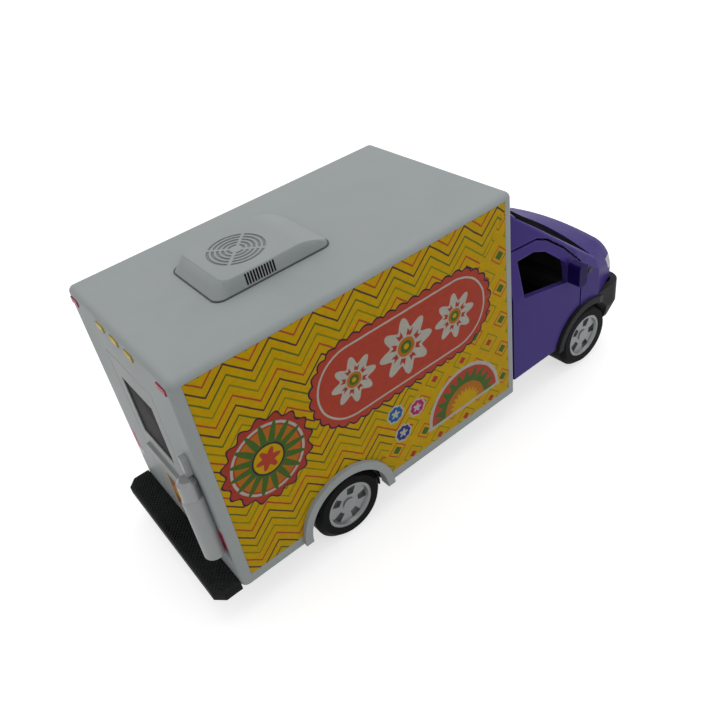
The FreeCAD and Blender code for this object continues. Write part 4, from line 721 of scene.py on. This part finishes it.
# printed side panels: zigzag ground, small diamonds, and large plain festive shapes
printSetup = {
    "inks": {
        "yellow": (0.520, 0.320, 0.002), "red": (0.360, 0.045, 0.028),
        "scarlet": (0.400, 0.055, 0.032), "green": (0.060, 0.125, 0.022),
        "olive": (0.200, 0.205, 0.012), "plum": (0.028, 0.016, 0.036),
        "orange": (0.420, 0.140, 0.016), "white": (0.430, 0.415, 0.360),
        "blue": (0.020, 0.110, 0.300), "pink": (0.380, 0.022, 0.130),
        "indigo": (0.028, 0.040, 0.200),
    },
    "wander": (500.0, 2.0),  # scale and detail of the noise that shifts an ink line
    "wanderReach": 0.16,  # mm
    "soft": 0.07,  # mm, blur of an inked edge
    "zigzagPeriod": 9.4,  # mm
    "zigzagRise": 4.5,
    "zigzagPitch": 2.32,
    "zigzagLine": 0.36,
    "zigzagStart": 199.3,
    "zigzagCover": 0.92,
    "zigzagInks": ("olive", "green", "plum", "red"),
    "diamondPitch": 8.4,  # mm
    "diamondStart": (201.3, 202.0),
    "diamondTall": 1.05,
    "diamondFar": 1.02,  # of the pitch, where the second kind has its middle
    "diamonds": (
        # heart, inner and outer edge of its outline (mm), ink of the heart and of the outline
        (1.25, 2.15, 2.55, "green", "scarlet"),
        (1.0, 2.5, 2.9, "red", "olive"),
    ),
    "corner": (1.1, -38.7, -38.3),  # slope of the line that parts the two grounds, its blur
    # centre x and z, half length of its straight part, end radius, depth of a scallop
    "banner": (-10.5, 42.0, 14.0, 10.4, 0.75),
    "bannerScallops": 10,  # in a quarter of its outline
    "bannerLine": 0.40,  # mm
    "bannerBand": (1.7, 2.15),  # mm, in from the edge
    # centre x and z, and the size that the layers are shares of (mm)
    "blossoms": ((-24.2, 42.0, 4.6), (-10.5, 42.0, 5.8), (3.2, 42.0, 4.6)),
    "buds": ((-15.6, 26.6, "blue"), (-9.6, 24.6, "pink"), (-14.2, 20.2, "indigo")),
    "budSize": 2.3,
    "wheelOfRays": (-46.0, 36.5, 9.6),
    "fan": (4.4, 15.8, 10.0),
    "fanBar": (0.8, 1.16),  # height (mm), and half length as a share of the size
    # layers, the lowest first: ink, then lobes, depth of a lobe, edge and blur of each outline
    "blossomLayers": (
        ("white", (8, 0.22, 1.0, 0.02)), ("red", (8, 0.22, 0.80, 0.02), (8, -0.9, 0.62, 0.03)),
        ("white", (0, 0.0, 0.46, 0.02)), ("orange", (0, 0.0, 0.40, 0.02)),
        ("green", (0, 0.0, 0.26, 0.02)), ("yellow", (0, 0.0, 0.12, 0.02)),
    ),
    "budLayers": (
        ("white", (8, 0.06, 1.0, 0.03)), ("bud", (8, 0.06, 0.82, 0.03)),
        ("white", (5, 0.35, 0.38, 0.03)),
    ),
    "wheelLayers": (
        ("plum", (16, 0.06, 1.03, 0.012)), ("red", (16, 0.06, 0.99, 0.012)),
        ("white", (0, 0.0, 0.86, 0.01)), ("red", (0, 0.0, 0.80, 0.01)),
        ("orange", (0, 0.0, 0.76, 0.01)), ("green", (16, 0.35, 0.66, 0.02)),
        ("plum", (0, 0.0, 0.38, 0.012)), ("yellow", (0, 0.0, 0.34, 0.012)),
        ("scarlet", (6, 0.3, 0.22, 0.02)),
    ),
    "fanLayers": (
        ("white", (0, 0.0, 1.12, 0.01)), ("scarlet", (0, 0.0, 1.03, 0.01)),
        ("green", (22, 0.12, 0.86, 0.015)), ("orange", (0, 0.0, 0.62, 0.012)),
        ("yellow", (22, 0.12, 0.42, 0.015)),
    ),
    "mottle": (900.0, 4.0, 0.7),  # scale, detail and roughness of the ink's mottle
    "mottleEdge": (0.25, 0.8),
    "dull": (0.86, 0.85, 0.84),
    "scratch": 0.5,
    "scratchShare": 0.12,
    "bare": (0.6, 0.58, 0.5),
    "dust": 0.4,
    "rough": 0.34,
    "roughSpread": 0.10,
    "roughDust": 0.3,
    "bump": 0.4,
    "depth": 0.012,  # mm
    "specular": 0.05,
}


def printFinish(setup):
    material, tree, shader = newMaterial("printedPanel")
    place, axes, inks, soft = objectPlace(tree), objectAxes(tree), setup["inks"], setup["soft"]
    # ink lines wander a little, as print on thin card does
    reach = setup["wanderReach"]
    wander = maths(tree, "MULTIPLY_ADD", noise(tree, place, *setup["wander"]), reach, -reach / 2)
    x, z = (maths(tree, "MULTIPLY_ADD", axes[axis], perMetre, wander) for axis in "XZ")

    def inside(value, edge, blur=soft):
        return ramp(tree, value, edge + blur, edge - blur)

    def less(first, second):
        # the first mask without the second
        return times(tree, first, maths(tree, "SUBTRACT", 1.0, second))

    def motif(under, centreX, centreZ, size, layers, within=None, own=None):
        # plain shapes laid one over another; a layer with two outlines is inside both
        ratios = {}
        for ink, *outlines in layers:
            mask = within
            for lobes, depth, edge, blur in outlines:
                if (lobes, depth) not in ratios:
                    ratios[lobes, depth] = useGroup(
                        tree, rosetteGroup, X=x, Z=z, CentreX=centreX, CentreZ=centreZ,
                        Size=size, Lobes=lobes, Depth=depth,
                    )["Ratio"]
                part = inside(ratios[lobes, depth], edge, blur)
                mask = part if mask is None else times(tree, part, mask)
            under = mixColour(tree, mask, under, inks[own if ink == "bud" else ink])
        return under

    # zigzag rows: height plus a triangle wave of x, cut into rows of one pitch
    pitch, sequence = setup["zigzagPitch"], setup["zigzagInks"]
    fold = maths(tree, "PINGPONG", maths(tree, "ADD", x, setup["zigzagStart"]),
                 setup["zigzagPeriod"] / 2)
    rise = 2 * setup["zigzagRise"] / setup["zigzagPeriod"]
    row = maths(tree, "DIVIDE", maths(tree, "MULTIPLY_ADD", fold, rise, z), pitch)
    along = maths(tree, "ABSOLUTE", maths(tree, "SUBTRACT", maths(tree, "FRACT", row), 0.5))
    halfLine = setup["zigzagLine"] * math.sqrt(1 + rise * rise) / pitch / 2
    line = inside(along, halfLine, soft / pitch)
    order = maths(tree, "DIVIDE", maths(tree, "FLOOR", row), float(len(sequence)))
    nudge = 0.01  # clear of the ramp's stops
    order = maths(tree, "ADD", maths(tree, "FRACT", order), nudge)
    inkRows = addNode(tree, "ValToRGB", {0: order})
    inkRows.color_ramp.interpolation = "CONSTANT"
    stops = inkRows.color_ramp.elements
    while len(stops) < len(sequence):
        stops.new(0.5)
    for index in range(len(sequence)):
        stops[index].position = index / len(sequence)
    for index, ink in enumerate(sequence):
        stops[index].color = (*inks[ink], 1)

    # the diamonds hold the lower front corner, the zigzags the rest
    slant, low, high = setup["corner"]
    corner = maths(tree, "MULTIPLY_ADD", x, slant, times(tree, z, -1.0))
    corner = ramp(tree, corner, low, high)
    colour = tint(tree, inks["yellow"], less(line, corner), setup["zigzagCover"],
                  inkRows.outputs["Color"])

    # diamonds on a lattice: distance |x| + |z| from the middle of each cell, and from its corner
    pitch = setup["diamondPitch"]
    cellX, cellZ = (maths(tree, "PINGPONG", maths(tree, "ADD", value, start), pitch / 2)
                    for value, start in zip((x, z), setup["diamondStart"]))
    near = maths(tree, "ADD", cellX, times(tree, cellZ, setup["diamondTall"]))
    far = maths(tree, "SUBTRACT", pitch * setup["diamondFar"], near)
    for reach, (heart, inner, outer, heartInk, lineInk) in zip((near, far), setup["diamonds"]):
        colour = tint(tree, colour, inside(reach, heart), corner, inks[heartInk])
        outline = less(inside(reach, outer), inside(reach, inner))
        colour = tint(tree, colour, outline, corner, inks[lineInk])

    # blank red banner: a bar with round ends, its edge in scallops of equal width, whose
    # place along the outline is the straight part's x and then the arc round the end
    centreX, centreZ, straight, radius, depth = setup["banner"]
    across = maths(tree, "ABSOLUTE", maths(tree, "SUBTRACT", x, centreX))
    up = maths(tree, "ABSOLUTE", maths(tree, "SUBTRACT", z, centreZ))
    past = maths(tree, "MAXIMUM", maths(tree, "SUBTRACT", across, straight), 0.0)
    reach = maths(tree, "SQRT", maths(tree, "MULTIPLY_ADD", past, past, times(tree, up, up)))
    arc = times(tree, maths(tree, "ARCTAN2", past, up), radius)
    along = maths(tree, "ADD", maths(tree, "MINIMUM", across, straight), arc)
    quarter = straight + radius * math.pi / 2
    wave = maths(tree, "COSINE", times(tree, along, math.pi * setup["bannerScallops"] / quarter))
    edge = maths(tree, "MULTIPLY_ADD", maths(tree, "ABSOLUTE", wave), depth, radius - depth)
    over = maths(tree, "SUBTRACT", reach, edge)
    colour = mixColour(tree, inside(over, setup["bannerLine"]), colour, inks["plum"])
    colour = mixColour(tree, inside(over, 0.0), colour, inks["scarlet"])
    band = less(*(inside(reach, radius - share) for share in setup["bannerBand"]))
    colour = mixColour(tree, band, colour, inks["white"])

    # blossoms on the banner, three small buds, and the wheel of rays near the back
    for blossom in setup["blossoms"]:
        colour = motif(colour, *blossom, setup["blossomLayers"])
    for centreX, centreZ, ink in setup["buds"]:
        colour = motif(colour, centreX, centreZ, setup["budSize"], setup["budLayers"], own=ink)
    colour = motif(colour, *setup["wheelOfRays"], setup["wheelLayers"])

    # half fan over a short bar, at the foot of the front
    centreX, centreZ, size = setup["fan"]
    tall, reach = setup["fanBar"]
    above, bar = (ramp(tree, z, foot - soft, foot + soft) for foot in (centreZ, centreZ - tall))
    aside = maths(tree, "ABSOLUTE", maths(tree, "SUBTRACT", x, centreX))
    colour = tint(tree, colour, less(bar, above), inside(aside, size * reach), inks["white"])
    colour = motif(colour, centreX, centreZ, size, setup["fanLayers"], above)

    # mottled ink, scratches and a little dust
    mottle = ramp(tree, noise(tree, place, *setup["mottle"]), *setup["mottleEdge"])
    dull = mixColour(tree, 1.0, colour, setup["dull"], "MULTIPLY")
    colour = mixColour(tree, mottle, dull, colour)
    scratch = useGroup(tree, scratchGroup, Amount=setup["scratch"])
    dust = useGroup(tree, dustGroup, Amount=setup["dust"])
    rough = maths(tree, "MULTIPLY_ADD", mottle, setup["roughSpread"], setup["rough"])
    feed(tree, shader, {
        "Base Color": tint(tree, colour, scratch["Mask"], setup["scratchShare"], setup["bare"]),
        "Roughness": maths(tree, "ADD", rough, times(tree, dust["Film"], setup["roughDust"])),
        "Normal": bumpNormal(tree, mottle, setup["bump"], setup["depth"]),
        "Specular IOR Level": setup["specular"],
    })
    return material


finishes["printedPanel"] = printFinish(printSetup)
print("stage 5: printed panels")


# new pieces, in mm until they become a mesh
sharpAngle = math.radians(35.0)


def addPiece(name, points, faces, finish, slot, *replaced):
    mesh = bpy.data.meshes.new(name)
    mesh.from_pydata((np.asarray(points) * mm).tolist(), [], faces)
    mesh.materials.append(finishes[finish])
    mesh.shade_smooth()
    mesh.set_sharp_from_angle(angle=sharpAngle)
    piece = bpy.data.objects.new(name, mesh)
    bpy.context.scene.collection.objects.link(piece)
    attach(piece, "truck")
    if replaced:
        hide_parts(*replaced)


def gridFaces(rows, columns, closed=False):
    # quads of a grid stored row by row; a closed grid joins its last column to its first
    row, column = np.meshgrid(np.arange(rows - 1), np.arange(columns - (not closed)), indexing="ij")
    after = (column + 1) % columns
    quads = np.stack([row * columns + column, row * columns + after,
                      (row + 1) * columns + after, (row + 1) * columns + column], axis=-1)
    return quads.reshape(-1, 4).tolist()


def onBothSides(points, faces):
    # a shape and its mirror image in Y; the faces look outwards on the right side, -Y
    right, left = points * (1, -1, 1), points
    mirrored = [[corner + len(points) for corner in face[::-1]] for face in faces]
    return np.concatenate([right, left]), faces + mirrored


stepSetup = {
    "corner": 2.0,  # mm, cut off each outer corner
    "round": 0.35,
    "studPitch": (0.96, 1.04),
    "studHalf": (0.34, 0.38),
    "studHeight": 0.32,
    "studSlope": 1.9,  # height gained from its edge to its middle, cut off at 1
    "border": 0.55,
    "borderRun": 0.12,
    "samples": (58, 400),
}


def makeStep(setup):
    # plate whose top is a height over (x, y): rounded at its rim, with staggered diamond studs,
    # each one high where |dx| / a + |dy| / b is less than 1
    (x0, y0, z0), (x1, y1, z1) = nodeBox("rear_step")
    rows, columns = setup["samples"]
    x = np.linspace(x0, x1, rows)[:, None] * np.ones((1, columns))
    half = (y1 - y0) / 2 - np.clip(setup["corner"] - (x - x0), 0, None)
    y = np.linspace(-1, 1, columns)[None, :] * half
    rim = np.minimum(np.minimum(x - x0, x1 - x), half - np.abs(y))
    inner = np.clip(setup["round"] - rim, 0, None)
    drop = setup["round"] - np.sqrt(np.clip(setup["round"] ** 2 - inner ** 2, 0, None))
    studs = np.zeros_like(x)
    for shift in (0.0, 0.5):
        away = np.zeros_like(x)
        for line, pitch, size in zip((x, y), setup["studPitch"], setup["studHalf"]):
            away += np.abs((line / pitch + shift) % 1.0 - 0.5) * pitch / size
        studs = np.maximum(studs, np.clip(setup["studSlope"] * (1 - away), 0, 1))
    studs *= np.clip((rim - setup["border"]) / setup["borderRun"], 0, 1)
    top = z1 - setup["studHeight"] * (1 - studs) - drop
    points = np.stack([x, y, top], axis=-1).reshape(-1, 3)

    # walls down from the rim to a flat foot
    loop = np.concatenate([
        np.arange(columns), np.arange(1, rows) * columns + columns - 1,
        (rows - 1) * columns + np.arange(columns - 2, -1, -1),
        np.arange(rows - 2, 0, -1) * columns,
    ])
    low = len(points) + np.arange(len(loop))
    faces = [face[::-1] for face in gridFaces(rows, columns)]
    faces += np.stack([loop, np.roll(loop, -1), np.roll(low, -1), low], axis=-1).tolist()
    faces.append(low.tolist())
    foot = points[loop] * (1, 1, 0) + (0, 0, z0)
    points = np.concatenate([points, foot])
    addPiece("rearStepTread", points, faces, "stepPlastic", "black_plastic", "rear_step")


def outlineReach(angle, centre, low, high, half, corner, furthest=60.0, halvings=40):
    # distance from a centre along each angle to a rounded rectangle, by halving the step
    inside, outside = np.zeros_like(angle), np.full_like(angle, furthest)
    for _ in range(halvings):
        reach = (inside + outside) / 2
        x = centre + reach * np.cos(angle)
        y = reach * np.sin(angle)
        gapX = np.maximum(low + corner - x, x - high + corner)
        gapY = np.abs(y) - half + corner
        away = np.hypot(np.clip(gapX, 0, None), np.clip(gapY, 0, None))
        away = away + np.minimum(np.maximum(gapX, gapY), 0) - corner
        outside = np.where(away > 0, reach, outside)
        inside = np.where(away > 0, inside, reach)
    return (inside + outside) / 2


def makeRoofUnit(setup):
    # rings round the fan's middle: up the raked wall, over a rounded edge, across the top
    # to the fan, and down to its middle with circular slots between four spokes
    (x0, y0, z0), (x1, y1, z1) = nodeBox("roof_unit")
    half = (y1 - y0) / 2
    fan, crest = x0 + setup["fanPlace"], x0 + setup["crest"]
    count = setup["around"]
    angle = np.linspace(0, 2 * math.pi, count, endpoint=False)
    cos, sin = np.cos(angle), np.sin(angle)

    def topHeight(x):
        slope = (z1 - z0 - setup["nose"]) / (x1 - crest) ** setup["slope"]
        return z1 - slope * np.clip(x - crest, 0, None) ** setup["slope"]

    foot = outlineReach(angle, fan, x0, x1, half, setup["corner"])
    head = outlineReach(angle, fan, x0 + setup["rake"], x1, half - setup["lean"], setup["corner"])
    footX, footY = fan + foot * cos, foot * sin
    headX, headY = fan + head * cos, head * sin
    tall = topHeight(headX) - z0
    edge = np.minimum(setup["edge"], setup["edgeShare"] * tall)
    rings = []
    for share in setup["wallShares"]:
        up = share * (1 - edge / tall)
        rings.append((footX + (headX - footX) * up, footY + (headY - footY) * up, z0 + up * tall))
    for step in range(1, setup["edgeSteps"] + 1):
        turn = step / setup["edgeSteps"] * math.pi / 2
        back = edge * (1 - math.cos(turn))
        x = headX - back * cos
        rings.append((x, headY - back * sin, topHeight(x) - edge * (1 - math.sin(turn))))
    rim = setup["fanRadius"] + setup["fanLip"]
    edgeX, edgeY = rings[-1][:2]
    for step in range(1, setup["topSteps"] + 1):
        share = step / setup["topSteps"]
        x = edgeX + (fan + rim * cos - edgeX) * share
        rings.append((x, edgeY + (rim * sin - edgeY) * share, topHeight(x)))
    for ring in range(setup["fanRings"]):
        outer = setup["fanRadius"] - ring * setup["fanPitch"]
        inner, wall = outer - setup["fanSlot"], setup["fanWall"]
        for radius, depth in ((outer, 0), (outer - wall, 1), (inner + wall, 1), (inner, 0)):
            # a spoke keeps the full height within its half width of either diagonal
            away = radius * np.abs(np.cos(2 * angle)) / 2
            cut = np.clip((away - setup["fanSpoke"]) / setup["spokeRun"], 0, 1)
            x = fan + radius * cos
            rings.append((x, radius * sin, topHeight(x) - setup["fanDepth"] * depth * cut))
    points = np.concatenate([np.stack(ring, axis=-1) for ring in rings] + [[[fan, 0, z1]]])
    last = np.arange(count) + (len(rings) - 1) * count
    middle = np.full(count, len(points) - 1)
    faces = gridFaces(len(rings), count, closed=True)
    faces += np.stack([last, np.roll(last, -1), middle], axis=-1).tolist()
    faces.append(list(range(count))[::-1])
    addPiece("roofUnitHousing", points, faces, "roofUnitPlastic", "box_plastic", "roof_unit")


def makeLouvres(setup):
    # black slots of the roof unit's sides: one outline, two half circles on straight sides,
    # repeated along the wall in two layers that follow its lean
    (x0, y0, z0), (x1, y1, z1) = nodeBox("roof_unit")
    corners, radius = setup["louvreCorners"], setup["louvreWidth"] / 2
    turns = np.linspace(0, 2 * math.pi, corners, endpoint=False)
    straight = setup["louvreTall"] / 2 - radius
    up = z0 + setup["louvreLow"] + setup["louvreTall"] / 2 + radius * np.sin(turns)
    up = up + np.where(np.sin(turns) >= 0, straight, -straight)
    lean = setup["lean"] * (up - z0) / (z1 - z0)
    across = (y1 - y0) / 2 - lean + np.array(setup["louvreLayers"])[:, None]
    starts = x0 + setup["louvrePlace"] + np.arange(setup["louvres"]) * setup["louvrePitch"]
    along = starts[:, None, None] + radius + radius * np.cos(turns)
    points = np.stack(np.broadcast_arrays(along, across, up), axis=-1).reshape(-1, 3)

    base = np.arange(corners)
    after = np.roll(base, -1)
    slot = np.stack([base, after, after + corners, base + corners], axis=-1).tolist()
    slot += [(base + corners).tolist(), base[::-1].tolist()]
    faces = [[start + corner for corner in face]
             for start in range(0, len(points), 2 * corners) for face in slot]
    addPiece("roofUnitLouvres", *onBothSides(points, faces), "slotBlack", "black_plastic")


linerSetup = {
    "radii": (9.12, 9.40),  # mm, round the rear axle
    "spread": (14.3, 20.6),  # from the middle of the truck, along Y
    "arc": (-9.0, 174.0),  # degrees from +X, over the top
    "steps": 76,
}


def makeLiners(setup):
    # curved strip of rectangular section over each rear wheel: the section's four corners
    # carried round the axle, with an end face at each end
    low, high = nodeBox("tyre_rear_right")
    middleX, middleZ = (low[0] + high[0]) / 2, (low[2] + high[2]) / 2
    steps, (inner, outer), (near, far) = setup["steps"], setup["radii"], setup["spread"]
    angles = np.radians(np.linspace(*setup["arc"], steps))[:, None]
    radius = np.array([inner, outer, outer, inner])
    across = np.array([near, near, far, far])
    points = np.stack(np.broadcast_arrays(middleX + radius * np.cos(angles), across,
                                          middleZ + radius * np.sin(angles)), axis=-1)
    lastSection = 4 * (steps - 1)
    faces = gridFaces(steps, 4, closed=True)
    faces += [[0, 3, 2, 1], [lastSection + corner for corner in range(4)]]
    faces = [face[::-1] for face in faces]
    addPiece("rearWheelLiners", *onBothSides(points.reshape(-1, 3), faces), "basePlastic",
             "black_plastic")


makeStep(stepSetup)
makeRoofUnit(unitSetup)
makeLouvres(unitSetup)
makeLiners(linerSetup)
print("stage 6: step tread, roof unit and wheel liners")


# which finish each piece wears, by node name; what isn't named goes by its slot
nodeFinish = {
    "roof_unit": "roofUnitPlastic", "roof_unit_seal": "sealJointAndPaintedShadow",
    "rear_door": "doorPanelPlastic", "rear_window": "windowBlack", "windscreen": "glassBlack",
    "front_bumper": "trimPlastic", "grille": "trimPlastic", "rear_step": "stepPlastic",
    "cab_interior": "cabinPlastic", "steering_wheel": "cabinPlastic", "box_floor": "cabinPlastic",
    "seat_left": "seatPlastic", "seat_right": "seatPlastic",
    "headlamps": "headLamp", "bottle_valve": "valveSteel",
}
slotFinish = {
    "box_plastic": "boxPlastic", "printed_panel": "printedPanel", "black_plastic": "basePlastic",
    "black_gloss": "glassBlack", "yellow_lamp": "amberLamp", "red_lamp": "redLamp",
    "white_lamp": "clearLamp", "bottle_plastic": "bottlePlastic", "cab_paint": "cabEnamel",
    "steel": "axleSteel", "silver_plastic": "rimSilver", "tyre": "tyreBlack",
}
for nodeName, piece in nodes.items():
    for place in piece.material_slots:
        slotName = place.material.name.split(".")[0]
        place.material = finishes[nodeFinish.get(nodeName, slotFinish[slotName])]
print("stage 7: finishes on", len(nodes), "pieces")
